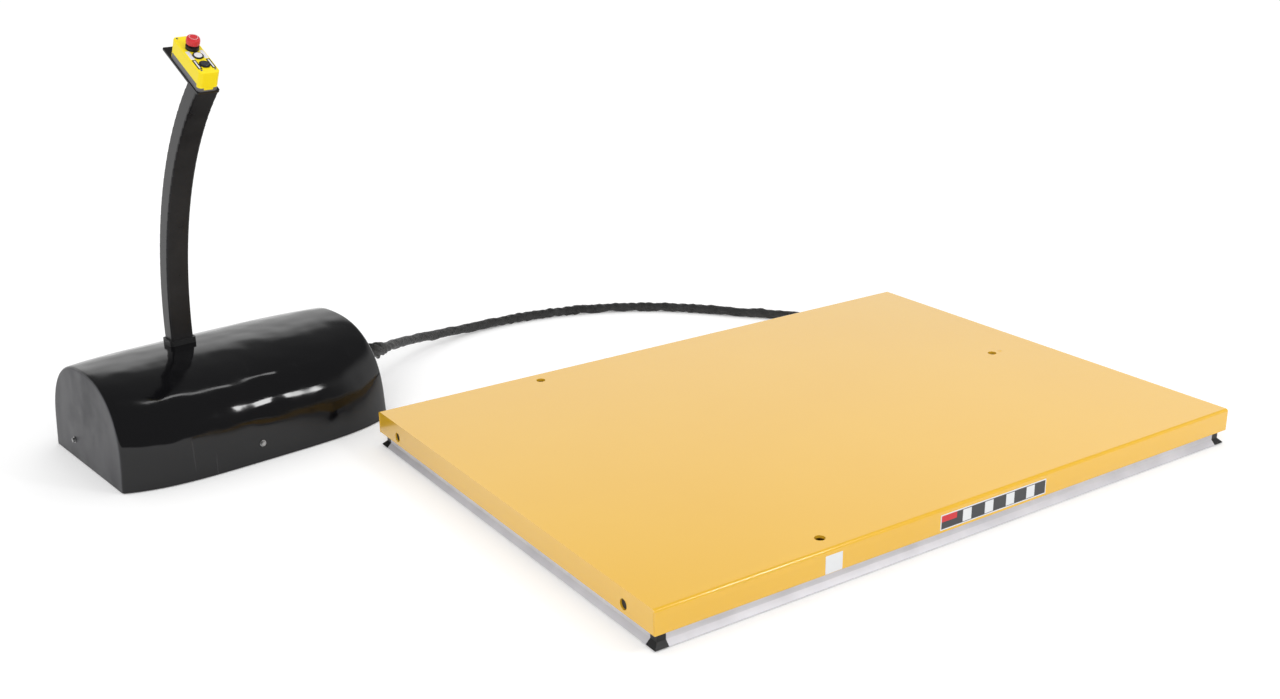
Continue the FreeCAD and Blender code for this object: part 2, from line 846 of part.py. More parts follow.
def pack_pump_block():
    port = rod_along_z(pump_port_s, motor_v, pump_port_radius, pump_box[5], pump_box[5] + pump_port_height)
    return fuse([block(*pump_box), port])


def pack_solenoid_valve():
    s0, s1, v0, v1, z0, z1 = valve_coil
    stem = rod_along_y((s0 + s1) / 2, (z0 + z1) / 2, valve_stem_radius, v1, v1 + valve_stem_length)
    return fuse([block(*valve_coil), stem])


def pack_oil_tank():
    top = tank_box[5]
    neck = rod_along_z(tank_neck[0], tank_neck[1], tank_neck_radius, top, top + tank_neck_height)
    return fuse([rounded(block(*tank_box), upright, tank_corner), neck])


def pack_contactor_box():
    return rounded(block(*contactor_box), upright, contactor_corner)


def pack_cover_bolts(outer):
    """Hex-headed bolts that hold the cover to the base plate, one at each end and one a side."""
    height = cover_bolt_height
    lean = pack_end_lean * height / pack_height
    s = pack_length * cover_bolt_share
    half = cover_half_width(cover_bolt_share)
    bolts = [hexagon_head(vec(lean, cover_bolt_offset, height), vec(-1, 0, 0)),
             hexagon_head(vec(pack_length - lean, -cover_bolt_offset, height), vec(1, 0, 0)),
             hexagon_head(vec(s, -half, height), vec(0, -1, 0)),
             hexagon_head(vec(s, half, height), vec(0, 1, 0))]
    return [bolt.cut(outer) for bolt in bolts]


def cover_half_width(share):
    bulge = 1 - abs(2 * share - 1) ** bulge_power
    return pack_half_end + (pack_half_middle - pack_half_end) * bulge


def hexagon_head(place, way):
    """A bolt head on a washer, from the cover's face outwards."""
    washer = Part.makeCylinder(cover_washer_radius, cover_washer_thickness, place, way)
    hexagon = Part.makePolygon([vec(cover_bolt_radius * math.cos(math.radians(60 * k)),
                                    cover_bolt_radius * math.sin(math.radians(60 * k)), 0)
                                for k in range(7)])
    head = Part.Face(hexagon).extrude(vec(0, 0, cover_washer_thickness + cover_bolt_head))
    head.Placement = FreeCAD.Placement(place, FreeCAD.Rotation(vec(0, 0, 1), way))
    return washer.fuse(head).removeSplitter()


# Hand station on the post: x runs down its slope, y along the pack and z out of its face

def on_station(shape):
    tilt = math.radians(station_tilt)
    down = vec(0, -math.cos(tilt), -math.sin(tilt))
    out = vec(0, -math.sin(tilt), math.cos(tilt))
    turn = math.radians(post_arc_turn)
    post_end = vec(post_s + station_side, post_v - post_arc_radius * (1 - math.cos(turn)),
                   post_arc_start + post_arc_radius * math.sin(turn))
    shape = shape.copy()
    shape.Placement = FreeCAD.Placement(post_end - down * station_overhang,
                                        FreeCAD.Rotation(down, vec(1, 0, 0), out, "ZXY"))
    return shape


def station_plate():
    half = station_plate_length / 2
    plate = block(-half, half, -station_plate_width / 2, station_plate_width / 2,
                  0, station_plate_thickness)
    return rounded(plate, upright, station_plate_corner)


def station_casing():
    """The hand station's hollow casing before it is parted into its two halves."""
    half = housing_width / 2
    wall = housing_wall
    casing = block(housing_start, housing_end, -half, half, station_plate_thickness, housing_top)
    casing = rounded(casing, upright, housing_corner)
    casing = rounded(casing, lambda e: e.BoundBox.ZMin > housing_top - 0.01, housing_top_radius)
    inside = block(housing_start + wall, housing_end - wall, -half + wall, half - wall,
                   station_plate_thickness + wall, housing_top - wall)
    return casing.cut(rounded(inside, upright, housing_corner - wall))


def below_joint():
    """The space of the grey lower half: the joint steps down at the low end and wraps the high one."""
    half = housing_width
    wrap = block(housing_start - 1, joint_wrap_end, -half, half, 0, joint_wrap_height)
    sides = block(joint_wrap_end, joint_low_start, -half, half, 0, joint_height)
    low_end = block(joint_low_start, housing_end + 1, -half, half, 0, joint_low_end)
    tab = block(housing_end - housing_wall - 1, housing_end + 2, -joint_tab_half, joint_tab_half,
                joint_tab_height, joint_height)
    return fuse([wrap, sides, low_end]).cut(tab)


def station_lower_housing():
    return station_casing().common(below_joint())


def station_upper_housing():
    """The yellow lid, with holes for the stop and the two buttons."""
    lid = station_casing().cut(below_joint())
    for place in (stop_place, up_button_place, down_button_place):
        lid = lid.cut(rod_along_z(place, 0, button_hole_radius, housing_top - 10, housing_top + 1))
    return lid


def flanged_collar(place, bore, flange_radius, flange_height):
    collar = fuse([rod_along_z(place, 0, button_hole_radius, housing_top - 8, housing_top),
                   rod_along_z(place, 0, flange_radius, housing_top, housing_top + flange_height)])
    return collar.cut(rod_along_z(place, 0, bore, housing_top - 9, housing_top + flange_height + 1))


def button(place):
    top = housing_top + button_height
    cap = rod_along_z(place, 0, button_radius - running_gap, housing_top - 6, top)
    return cap.makeChamfer(button_edge, [e for e in cap.Edges if e.BoundBox.ZMin > top - 0.5
                                         and e.BoundBox.ZLength < 0.1])


def stop_stem():
    return rod_along_z(stop_place, 0, stop_stem_radius - running_gap, housing_top - 12,
                       stop_cap_base + stop_socket)


def stop_cap():
    """Mushroom head with a finger relief, turning on the stem."""
    cap = rod_along_z(stop_place, 0, stop_cap_radius, stop_cap_base, stop_cap_top)
    cap = cap.makeFillet(stop_cap_edge, [e for e in cap.Edges if e.BoundBox.ZMin > stop_cap_top - 0.1])
    return cap.cut(rod_along_z(stop_place, 0, stop_stem_radius, stop_cap_base - 1,
                               stop_cap_base + stop_socket + 0.1))


def station_screws():
    return [rod_along_z(x, y, screw_radius, housing_top, housing_top + screw_height)
            for x in (housing_start + screw_inset[0], housing_end - screw_inset[1])
            for y in (-screw_side, screw_side)]


# Oil pipes inside the base, and the gland where the hose sleeve comes in

def hose_gland():
    """Bulkhead gland on the rear rail's flange."""
    nut = Part.makePolygon([vec(gland_radius * math.cos(math.radians(60 * k)), 0,
                                gland_radius * math.sin(math.radians(60 * k))) for k in range(7)])
    nut = Part.Face(nut).extrude(vec(0, gland_mouth - rail_outer_edge, 0))
    nut.translate(vec(gland_x, rail_outer_edge, gland_height))
    back = rod_along_y(gland_x, gland_height, gland_bore, pipe_outer_lane + pipe_elbow, rail_outer_edge)
    return fuse([nut, back])


def oil_pipes():
    """A steel pipe from the gland, round the arms' right ends and back to both cylinders' foot pins."""
    z = pipe_height
    foot_x = cylinder_foot[0] - 30

    def elbow(x, y, top):
        return block(x - pipe_elbow, x + pipe_elbow, y - pipe_elbow, y + pipe_elbow, rail_thickness, top)

    def along(x0, x1, y):
        return Part.makeCylinder(pipe_radius, x1 - x0, vec(x0, y, z), vec(1, 0, 0))
    low = z + pipe_radius + 0.3
    return fuse([elbow(gland_x, pipe_outer_lane, gland_height + 6),
                 along(gland_x, pipe_turn_x, pipe_outer_lane),
                 elbow(pipe_turn_x, pipe_outer_lane, low),
                 rod_along_y(pipe_turn_x, z, pipe_radius, pipe_inner_lane, pipe_outer_lane),
                 elbow(pipe_turn_x, pipe_inner_lane, low),
                 along(foot_x, pipe_turn_x, pipe_inner_lane),
                 elbow(foot_x, pipe_inner_lane, low),
                 rod_along_y(foot_x, z, pipe_radius, -cylinder_offset, pipe_inner_lane)])


# Hose sleeve: straight runs joined by arcs as large as the runs allow

def sleeve_route():
    turn = math.radians(pack_turn)
    exit_s = pack_length - exit_setback + exit_gap
    start = (pack_corner[0] + exit_s * math.cos(turn), pack_corner[1] + exit_s * math.sin(turn))
    return [(start[0], start[1], sleeve_exit_height),
            (start[0] + 60 * math.cos(turn), start[1] + 60 * math.sin(turn), sleeve_exit_height),
            (-611, 962, 89),
            (-519, 1057, 62),
            (-400, 1132, 34),
            (-250, 1180, 15),
            (-78, 1187, sleeve_floor),
            (104, 1148, sleeve_floor),
            (264, 1066, sleeve_floor),
            (385, 955, sleeve_floor),
            (469, 846, sleeve_floor),
            (529, 781, sleeve_floor),
            (599, 697, sleeve_floor),
            (gland_x, 605, gland_height),
            (gland_x, gland_mouth, gland_height)]


def rounded_path(points):
    """The route's runs with an arc at each inner point, its radius 0.45 of the shorter run
    divided by the tangent of half the turn."""
    points = [vec(*point) for point in points]
    edges = []
    here = points[0]
    for before, corner, after in zip(points, points[1:], points[2:]):
        into = (corner - before).normalize()
        out = (after - corner).normalize()
        half_turn = into.getAngle(out) / 2
        setback = 0.45 * min(before.distanceToPoint(corner), corner.distanceToPoint(after))
        radius = setback / math.tan(half_turn)
        print("sleeve bend radius %.0f mm, turn %.1f degrees" % (radius, math.degrees(2 * half_turn)))
        first = corner - into * setback
        last = corner + out * setback
        middle_way = (out - into).normalize()
        middle = corner + middle_way * (radius / math.cos(half_turn) - radius)
        edges.append(Part.LineSegment(here, first).toShape())
        edges.append(Part.Arc(first, middle, last).toShape())
        here = last
    edges.append(Part.LineSegment(here, points[-1]).toShape())
    return Part.Wire(edges)


def hose_sleeve():
    path = rounded_path(sleeve_route())
    start = path.Edges[0]
    circle = Part.Wire(Part.makeCircle(sleeve_radius, start.Vertexes[0].Point, start.tangentAt(0)))
    tube = path.makePipeShell([circle], True, False)
    expected = math.pi * sleeve_radius ** 2 * path.Length
    print("sleeve length %.0f mm, volume ratio %.4f" % (path.Length, tube.Volume / expected))
    return tube


def build():
    os.makedirs("parts", exist_ok=True)

    save("platform_deck", [platform_deck()])
    save("platform_skirt_left", [end_skirt()])
    save("platform_skirt_right", [lengthwise(end_skirt())])
    save("platform_ribs", platform_ribs())
    save("platform_pivots", platform_pivots())
    save("top_tracks", top_tracks())

    gland_hole = rod_along_y(gland_x, gland_height, gland_bore, rail_outer_edge - 10, rail_outer_edge + 1)
    save("base_rail_rear", [base_rail().cut(gland_hole)])
    save("base_rail_front", [across(base_rail())])
    save("base_cross_ends", base_cross_ends())
    save("base_cross_middle", [base_cross_middle()])
    save("base_pivots", base_pivots())

    save("outer_arm_rear", [outer_arm()])
    save("outer_arm_front", [across(outer_arm())])
    save("outer_arm_pins", outer_arm_pins())
    save("inner_arm_rear", [inner_arm()])
    save("inner_arm_front", [across(inner_arm())])
    save("inner_end_tubes", [cross_tube(-end_tube_place), cross_tube(end_tube_place)])
    save("inner_middle_tube", [cross_tube(rod_tube_place)])
    save("rod_lugs", rod_lugs())
    save("bottom_roller_pins", bottom_roller_pins())

    near = outer_arm_outer_face + side_gap
    top_roller = roller(near, near + top_roller_width, platform_pivot_height)
    far = inner_arm_inner_face - 2 * side_gap
    bottom_roller = roller(far - bottom_roller_width, far, base_pivot_height)
    save("top_roller_rear", [top_roller])
    save("top_roller_front", [across(top_roller)])
    save("bottom_roller_rear", [bottom_roller])
    save("bottom_roller_front", [across(bottom_roller)])

    save("cylinder_barrels", cylinder_barrels())
    save("cylinder_rods", cylinder_rods())
    save("cylinder_anchors", cylinder_anchors())

    save("trip_bar_front", [trip_bar_front()])
    save("trip_bar_rear", [trip_bar_rear()])
    save("trip_bar_ends", trip_bar_ends())
    save("trip_bar_corners", trip_bar_corners())
    save("bar_guides", bar_guides())
    save("trip_springs", trip_springs())
    save("trip_switches", trip_switches())

    cover = cover_body(0, pack_floor_gap)
    save("pack_base", [on_pack(pack_base())])
    save("pack_motor", [on_pack(pack_motor())])
    save("pack_fan", [on_pack(pack_fan())])
    save("pack_pump_block", [on_pack(pack_pump_block())])
    save("pack_solenoid_valve", [on_pack(pack_solenoid_valve())])
    save("pack_oil_tank", [on_pack(pack_oil_tank())])
    save("pack_contactor_box", [on_pack(pack_contactor_box())])
    save("pack_cover", [on_pack(pack_cover(cover))])
    save("pack_cover_bolts", [on_pack(bolt) for bolt in pack_cover_bolts(cover)])
    save("hose_grommet", [on_pack(hose_grommet())])
    save("control_post", [on_pack(control_post())])
    save("post_collar", [on_pack(post_collar(cover))])

    save("station_plate", [on_pack(on_station(station_plate()))])
    save("station_lower_housing", [on_pack(on_station(station_lower_housing()))])
    save("station_upper_housing", [on_pack(on_station(station_upper_housing()))])
    save("station_screws", [on_pack(on_station(screw)) for screw in station_screws()])
    save("stop_collar", [on_pack(on_station(
        flanged_collar(stop_place, stop_stem_radius, stop_collar_radius, stop_collar_height)))])
    save("button_collars", [on_pack(on_station(flanged_collar(place, button_radius,
                                                              button_collar_radius,
                                                              button_collar_height)))
                            for place in (up_button_place, down_button_place)])
    save("stop_stem", [on_pack(on_station(stop_stem()))])
    save("stop_cap", [on_pack(on_station(stop_cap()))])
    save("up_button", [on_pack(on_station(button(up_button_place)))])
    save("down_button", [on_pack(on_station(button(down_button_place)))])

    save("hose_gland", [hose_gland()])
    save("oil_pipes", [oil_pipes()])
    save("hose_sleeve", [hose_sleeve()])


build()
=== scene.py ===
import json
import math
import random
import bmesh
import bpy
from mathutils import Matrix, Vector


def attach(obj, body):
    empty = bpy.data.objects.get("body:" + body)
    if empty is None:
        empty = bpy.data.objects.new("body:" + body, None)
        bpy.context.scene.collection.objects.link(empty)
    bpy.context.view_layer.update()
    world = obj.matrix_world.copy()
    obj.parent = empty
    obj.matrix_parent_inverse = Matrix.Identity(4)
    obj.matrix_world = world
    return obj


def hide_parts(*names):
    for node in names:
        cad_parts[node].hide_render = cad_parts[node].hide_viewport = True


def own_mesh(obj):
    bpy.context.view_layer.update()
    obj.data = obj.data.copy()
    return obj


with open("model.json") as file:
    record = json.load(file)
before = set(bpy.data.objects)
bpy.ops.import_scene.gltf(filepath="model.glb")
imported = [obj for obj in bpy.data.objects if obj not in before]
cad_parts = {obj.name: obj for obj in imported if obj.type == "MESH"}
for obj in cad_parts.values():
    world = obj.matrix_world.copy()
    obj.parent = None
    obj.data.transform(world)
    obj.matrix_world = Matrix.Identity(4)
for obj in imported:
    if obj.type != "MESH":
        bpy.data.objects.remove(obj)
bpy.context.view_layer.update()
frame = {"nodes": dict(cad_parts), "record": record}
nodes = frame["nodes"]
print("frame loaded:", len(nodes), "nodes")


# Camera at the photograph's place
cameraLook = {"place": (-2.04796, -2.40978, 1.34769), "pitch": 19.435, "yaw": -33.6707,
              "roll": -0.8067, "lens": 41.03}


def makeCamera(look):
    pitch, yaw, roll = [math.radians(look[key]) for key in ("pitch", "yaw", "roll")]
    ahead = Vector((-math.sin(yaw) * math.cos(pitch), math.cos(yaw) * math.cos(pitch), -math.sin(pitch)))
    level = Vector((math.cos(yaw), math.sin(yaw), 0))
    lift = level.cross(ahead)
    right = level * math.cos(roll) + lift * math.sin(roll)
    up = lift * math.cos(roll) - level * math.sin(roll)
    data = bpy.data.cameras.new("photoCamera")
    data.sensor_width = 36
    data.lens = look["lens"]
    data.clip_end = 200
    camera = bpy.data.objects.new("photoCamera", data)
    turn = Matrix((right, up, -ahead)).transposed().to_4x4()
    camera.matrix_world = Matrix.Translation(look["place"]) @ turn
    bpy.context.scene.collection.objects.link(camera)
    bpy.context.scene.camera = camera


makeCamera(cameraLook)
bpy.context.scene.view_settings.view_transform = "Standard"


# Node wiring: a Value is a socket that takes part in sums, a Board is a tree that nodes go into
class Value:
    def __init__(self, board, socket):
        self.board = board
        self.socket = socket

    def math(self, operation, first, second=None):
        terms = {0: first}
        if second is not None:
            terms[1] = second
        return self.board.node("ShaderNodeMath", {"operation": operation}, terms)

    def __add__(self, other):
        return self.math("ADD", self, other)

    def __radd__(self, other):
        return self.math("ADD", other, self)

    def __sub__(self, other):
        return self.math("SUBTRACT", self, other)

    def __rsub__(self, other):
        return self.math("SUBTRACT", other, self)

    def __mul__(self, other):
        return self.math("MULTIPLY", self, other)

    def __rmul__(self, other):
        return self.math("MULTIPLY", other, self)

    def most(self, other):
        return self.math("MAXIMUM", self, other)


class Board:
    def __init__(self, tree):
        self.tree = tree

    def node(self, kind, settings=None, inputs=None, out=0):
        made = self.tree.nodes.new(kind)
        for key, value in (settings or {}).items():
            if key == "stops":
                setStops(made.color_ramp, value)
            else:
                setattr(made, key, value)
        for key, value in (inputs or {}).items():
            if isinstance(value, Value):
                self.tree.links.new(value.socket, made.inputs[key])
            else:
                made.inputs[key].default_value = value
        return Value(self, made.outputs[out]) if made.outputs else None

    def join(self, *parts):
        made = self.tree.nodes.new("GeometryNodeJoinGeometry")
        for part in reversed(parts):
            self.tree.links.new(part.socket, made.inputs[0])
        return Value(self, made.outputs[0])

    def moved(self, geometry, shift=(0, 0, 0), turn=(0, 0, 0)):
        return self.node("GeometryNodeTransform", inputs={"Geometry": geometry, "Translation": shift,
                                                          "Rotation": turn})

    def facing(self):
        # the turn that brings +Z to each point's stored outward direction
        outward = self.node("GeometryNodeInputNamedAttribute", {"data_type": "FLOAT_VECTOR"},
                            {"Name": "outward"})
        return self.node("FunctionNodeAlignRotationToVector", {"axis": "Z"}, {"Vector": outward})

    def mixColour(self, share, first, second):
        return self.node("ShaderNodeMix", {"data_type": "RGBA"}, {0: share, 6: first, 7: second}, 2)

    def ramp(self, share, stops):
        return self.node("ShaderNodeValToRGB", {"stops": stops}, {0: share})

    def place(self, scale=(1, 1, 1), turn=(0, 0, 0)):
        here = self.node("ShaderNodeTexCoord", out=3)
        return self.node("ShaderNodeMapping", inputs={"Vector": here, "Scale": scale, "Rotation": turn})

    def noise(self, place, scale, detail=3.0, rough=0.55):
        return self.node("ShaderNodeTexNoise", inputs={"Vector": place, "Scale": scale,
                                                       "Detail": detail, "Roughness": rough})

    def bump(self, height, strength, distance):
        return self.node("ShaderNodeBump", inputs={"Strength": strength, "Distance": distance,
                                                   "Height": height})


def setStops(ramp, stops):
    while len(ramp.elements) < len(stops):
        ramp.elements.new(0.5)
    for element, (position, shade) in zip(ramp.elements, stops):
        element.position = position
        element.color = shade if len(shade) == 4 else (*shade, 1)


def grey(level):
    return (level, level, level, 1)


def rgb(red, green, blue):
    # display colour, 0 to 255, as the linear colour that a shader takes
    return tuple((c / 255 / 12.92) if c / 255 <= 0.04045 else ((c / 255 + 0.055) / 1.055) ** 2.4
                 for c in (red, green, blue)) + (1,)


def finish(name, build, **fixed):
    # a material: build(board) gives the shader inputs that change over the surface, fixed the rest
    material = bpy.data.materials.new(name)
    material.use_nodes = True
    material.node_tree.nodes.clear()
    board = Board(material.node_tree)
    shader = board.node("ShaderNodeBsdfPrincipled", inputs={**fixed, **build(board)})
    board.node("ShaderNodeOutputMaterial", inputs={"Surface": shader})
    return material


# Floor, lights and world
studio = {"floorSize": 40, "floorDrop": 0.0005, "floorShade": 0.86, "floorGlow": 0.20,
          "farGlow": 0.33, "glowFrom": 1.6, "glowTo": 4.5, "worldLevel": 0.80,
          "backdropWay": (0.554, 0.832, 0.0), "backdropFrom": -0.35, "backdropTo": 0.25,
          "fadeFrom": 0.38, "fadeTo": 0.62, "darkLevel": 0.22, "aim": (-0.3, 0.2, 0.1)}
lamps = {"keyLamp": {"power": 54, "size": (2.6, 2.6), "place": (-3.4, -2.2, 3.4), "mirrored": False},
         "rimLamp": {"power": 18, "size": (3.0, 3.0), "place": (0.4, 4.2, 3.2), "mirrored": False},
         "stripLamp": {"power": 5, "size": (1.5, 0.22), "place": (-0.35, 0.35, 3.3), "mirrored": True},
         "spotLamp": {"power": 20, "size": (0.50, 0.62), "place": (1.12, -2.14, 2.10),
                      "mirrored": True}}


def seenRays(board):
    # 1 for the rays that show the background: from the camera, in a mirror or through glass
    kinds = [board.node("ShaderNodeLightPath", out=out) for out in (0, 3, 6)]
    return kinds[0].most(kinds[1]).most(kinds[2])


def makeFloor():
    bpy.ops.mesh.primitive_plane_add(size=studio["floorSize"], location=(0, 0, -studio["floorDrop"]))
    floor = bpy.context.object
    floor.name = "studio_floor"
    material = bpy.data.materials.new("floorPale")
    material.use_nodes = True
    material.node_tree.nodes.clear()
    board = Board(material.node_tree)
    base = board.node("ShaderNodeBsdfDiffuse", inputs={"Color": grey(studio["floorShade"])})
    here = board.node("ShaderNodeTexCoord", out=3)
    away = board.node("ShaderNodeVectorMath", {"operation": "LENGTH"}, {0: here}, 1)
    level = board.node("ShaderNodeMapRange", inputs={
        "Value": away, "From Min": studio["glowFrom"], "From Max": studio["glowTo"],
        "To Min": studio["floorGlow"], "To Max": studio["farGlow"]})
    glow = board.node("ShaderNodeEmission", inputs={"Color": grey(1),
                                                    "Strength": seenRays(board) * level})
    both = board.node("ShaderNodeAddShader", inputs={0: base, 1: glow})
    board.node("ShaderNodeOutputMaterial", inputs={"Surface": both})
    floor.data.materials.append(material)


def makeLamp(name, power, size, place, mirrored):
    data = bpy.data.lights.new(name, "AREA")
    data.shape = "RECTANGLE"
    data.energy = power
    data.size, data.size_y = size
    lamp = bpy.data.objects.new(name, data)
    lamp.location = place
    lamp.rotation_euler = (Vector(studio["aim"]) - Vector(place)).to_track_quat("-Z", "Y").to_euler()
    lamp.visible_glossy = mirrored
    bpy.context.scene.collection.objects.link(lamp)


def makeWorld():
    # even light; mirrors see a white backdrop low down at the back and sides, and a dim room elsewhere
    world = bpy.data.worlds.new("studioWorld")
    world.use_nodes = True
    world.node_tree.nodes.clear()
    board = Board(world.node_tree)
    way = board.node("ShaderNodeTexCoord", out=0)
    height = board.node("ShaderNodeSeparateXYZ", inputs={0: way}, out=2)
    back = board.node("ShaderNodeVectorMath", {"operation": "DOT_PRODUCT"},
                      {0: way, 1: studio["backdropWay"]}, 1)
    behind = board.node("ShaderNodeMapRange", {"interpolation_type": "SMOOTHSTEP"},
                        {"Value": back, "From Min": studio["backdropFrom"],
                         "From Max": studio["backdropTo"]})
    low = board.node("ShaderNodeMapRange", {"interpolation_type": "SMOOTHSTEP"},
                     {"Value": height, "From Min": studio["fadeFrom"], "From Max": studio["fadeTo"],
                      "To Min": 1.0, "To Max": 0.0})
    room = behind * low * (1 - studio["darkLevel"]) + studio["darkLevel"]
    camera, glossy, through = [board.node("ShaderNodeLightPath", out=out) for out in (0, 3, 6)]
    plain = camera.most(through)
    level = plain + (1 - plain) * (glossy * room + (1 - glossy) * studio["worldLevel"])
    sky = board.node("ShaderNodeBackground", inputs={"Color": grey(1), "Strength": level})
    board.node("ShaderNodeOutputWorld", inputs={"Surface": sky})
    bpy.context.scene.world = world


makeFloor()
for lampName, lamp in lamps.items():
    makeLamp(lampName, **lamp)
makeWorld()
print("stage ready")


# Mesh helpers
sharpAngle = 38


def newPiece(name, vertices, faces, material, body):
    mesh = bpy.data.meshes.new(name)
    mesh.from_pydata([tuple(v) for v in vertices], [], faces)
    mesh.validate()
    return addPiece(name, mesh, material, body)


def addPiece(name, mesh, material, body):
    work = bmesh.new()
    work.from_mesh(mesh)
    bmesh.ops.remove_doubles(work, verts=work.verts, dist=1e-6)
    bmesh.ops.recalc_face_normals(work, faces=work.faces)
    work.to_mesh(mesh)
    work.free()
    piece = bpy.data.objects.new(name, mesh)
    bpy.context.scene.collection.objects.link(piece)
    mesh.materials.clear()
    mesh.materials.append(material)
    mesh.shade_smooth()
    mesh.set_sharp_from_angle(angle=math.radians(sharpAngle))
    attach(piece, body)
    return piece


def settled(holder):
    # the plain mesh of an object with its modifiers; the object itself goes
    seen = holder.evaluated_get(bpy.context.evaluated_depsgraph_get())
    made = bpy.data.meshes.new_from_object(seen)
    bpy.data.objects.remove(holder)
    return made


def tubeFaces(rings, around, closedRing=True):
    # quads between neighbouring rings of equal count, and a flat face on each open end
    faces = []
    last = around if closedRing else around - 1
    for ring in range(rings - 1):
        for step in range(last):
            a = ring * around + step
            b = ring * around + (step + 1) % around
            faces.append((a, b, b + around, a + around))
    faces.append(tuple(range(around))[::-1])
    faces.append(tuple(range((rings - 1) * around, rings * around)))
    return faces


def roundedOutline(x0, x1, y0, y1, radius, steps=6):
    # corner arcs of a rectangle, anticlockwise, in the plane
    points = []
    corners = [(x1 - radius, y1 - radius, 0), (x0 + radius, y1 - radius, 90),
               (x0 + radius, y0 + radius, 180), (x1 - radius, y0 + radius, 270)]
    for cx, cy, start in corners:
        for step in range(steps + 1):
            angle = math.radians(start + 90 * step / steps)
            points.append((cx + radius * math.cos(angle), cy + radius * math.sin(angle)))
    return points


def grow(board, geometry, material):
    # ends a geometry tree: real meshes with their material
    real = board.node("GeometryNodeRealizeInstances", inputs={0: geometry})
    dressed = board.node("GeometryNodeSetMaterial", inputs={0: real, "Material": material})
    board.node("NodeGroupOutput", inputs={0: dressed})


def newTree(name, sizes):
    # a geometry tree with a mesh of places coming in and named sizes
    tree = bpy.data.node_groups.new(name, "GeometryNodeTree")
    face = tree.interface
    face.new_socket(name="Geometry", in_out="INPUT", socket_type="NodeSocketGeometry")
    face.new_socket(name="Geometry", in_out="OUTPUT", socket_type="NodeSocketGeometry")
    for size in sizes:
        face.new_socket(name=size, in_out="INPUT", socket_type="NodeSocketFloat")
    board = Board(tree)
    entry = tree.nodes.new("NodeGroupInput")
    given = {socket.name: Value(board, socket) for socket in entry.outputs if socket.name}
    return tree, board, given


def plant(name, tree, sizes, places, body, normals=None):
    # runs a tree on points, with an outward direction for each, and keeps the plain mesh it makes
    mesh = bpy.data.meshes.new(name)
    mesh.from_pydata([tuple(place) for place in places], [], [])
    if normals:
        outward = mesh.attributes.new("outward", "FLOAT_VECTOR", "POINT")
        for item, normal in zip(outward.data, normals):
            item.vector = normal
    seed = bpy.data.objects.new(name + "_seed", mesh)
    bpy.context.scene.collection.objects.link(seed)
    modifier = seed.modifiers.new("grow", "NODES")
    modifier.node_group = tree
    for item in tree.interface.items_tree:
        if item.item_type == "SOCKET" and item.in_out == "INPUT" and item.name in sizes:
            modifier[item.identifier] = float(sizes[item.name])
    made = settled(seed)
    made.name = name
    material = [worn for worn in made.materials if worn][-1]
    return addPiece(name, made, material, body)


def flatPlate(name, corner, along, across, size, thickness, radius, material, body, slot):
    # a thin rounded plate: corner is its low corner, along and across its plane's directions
    along, across = Vector(along).normalized(), Vector(across).normalized()
    out = along.cross(across)
    ring = roundedOutline(0, size[0], 0, size[1], radius)
    edge = min(thickness, radius) * 0.3
    inner = roundedOutline(edge, size[0] - edge, edge, size[1] - edge, max(radius - edge, 1e-5))
    vertices = [Vector(corner) + along * a + across * b for a, b in ring]
    vertices += [Vector(corner) + along * a + across * b + out * (thickness - edge) for a, b in ring]
    vertices += [Vector(corner) + along * a + across * b + out * thickness for a, b in inner]
    return newPiece(name, vertices, tubeFaces(3, len(ring)), material, body)


# The power pack's own frame: s along it, v across it
pack = {"corner": (-1.4026, 0.8365), "turn": 6.9, "length": 0.672, "halfEnd": 0.1945,
        "halfMiddle": 0.241, "height": 0.2305, "wallHeight": 0.060, "endLean": 0.0136,
        "archPower": 2.4, "bulgePower": 4.0, "floorGap": 0.002, "shell": 0.003, "edge": 0.006}


def fromPack(s, v, z):
    turn = math.radians(pack["turn"])
    return Vector((pack["corner"][0] + s * math.cos(turn) - v * math.sin(turn),
                   pack["corner"][1] + s * math.sin(turn) + v * math.cos(turn), z))


# Hose sleeve: the route's points as in the frame, followed by a creased textile tube
sleeve = {"diameter": 0.026, "sides": 44, "stepLength": 0.0026, "seed": 7, "foldDepth": 0.0013,
          "bunchEnd": 0.14, "bunchDepth": 0.0042, "bunchGrowth": 0.0035, "creaseDepth": 0.0030,
          "scallopPlace": 1.00, "scallopReach": 0.26, "scallopPitch": 0.078, "scallopDepth": 0.0042,
          "calmEnd": 0.012, "least": 0.0098, "most": 0.0158, "foldCount": 7, "foldRates": (30, 150),
          "foldEase": 2.6, "creaseCount": 5, "creaseRates": (90, 320), "creaseEase": 3,
          "bunchFade": 0.018, "floorTouch": 0.0006}
bunch = {"start": 0.010, "length": 0.135, "stepLength": 0.0018, "sides": 64, "least": 0.0122,
         "growth": 0.0060, "depth": 0.0075, "rateGain": 1.6, "unevenness": 0.6}
exitHeight = 0.100
exitPlace = pack["length"] - pack["endLean"] * exitHeight / pack["height"] + 0.006
sleeveRoute = [fromPack(exitPlace, 0, exitHeight), fromPack(exitPlace + 0.060, 0, exitHeight),
               (-0.611, 0.962, 0.089), (-0.519, 1.057, 0.062), (-0.400, 1.132, 0.034),
               (-0.250, 1.180, 0.015), (-0.078, 1.187, 0.013), (0.104, 1.148, 0.013),
               (0.264, 1.066, 0.013), (0.385, 0.955, 0.013), (0.469, 0.846, 0.013),
               (0.529, 0.781, 0.013), (0.599, 0.697, 0.013), (0.640, 0.605, 0.016),
               (0.640, 0.545, 0.016)]


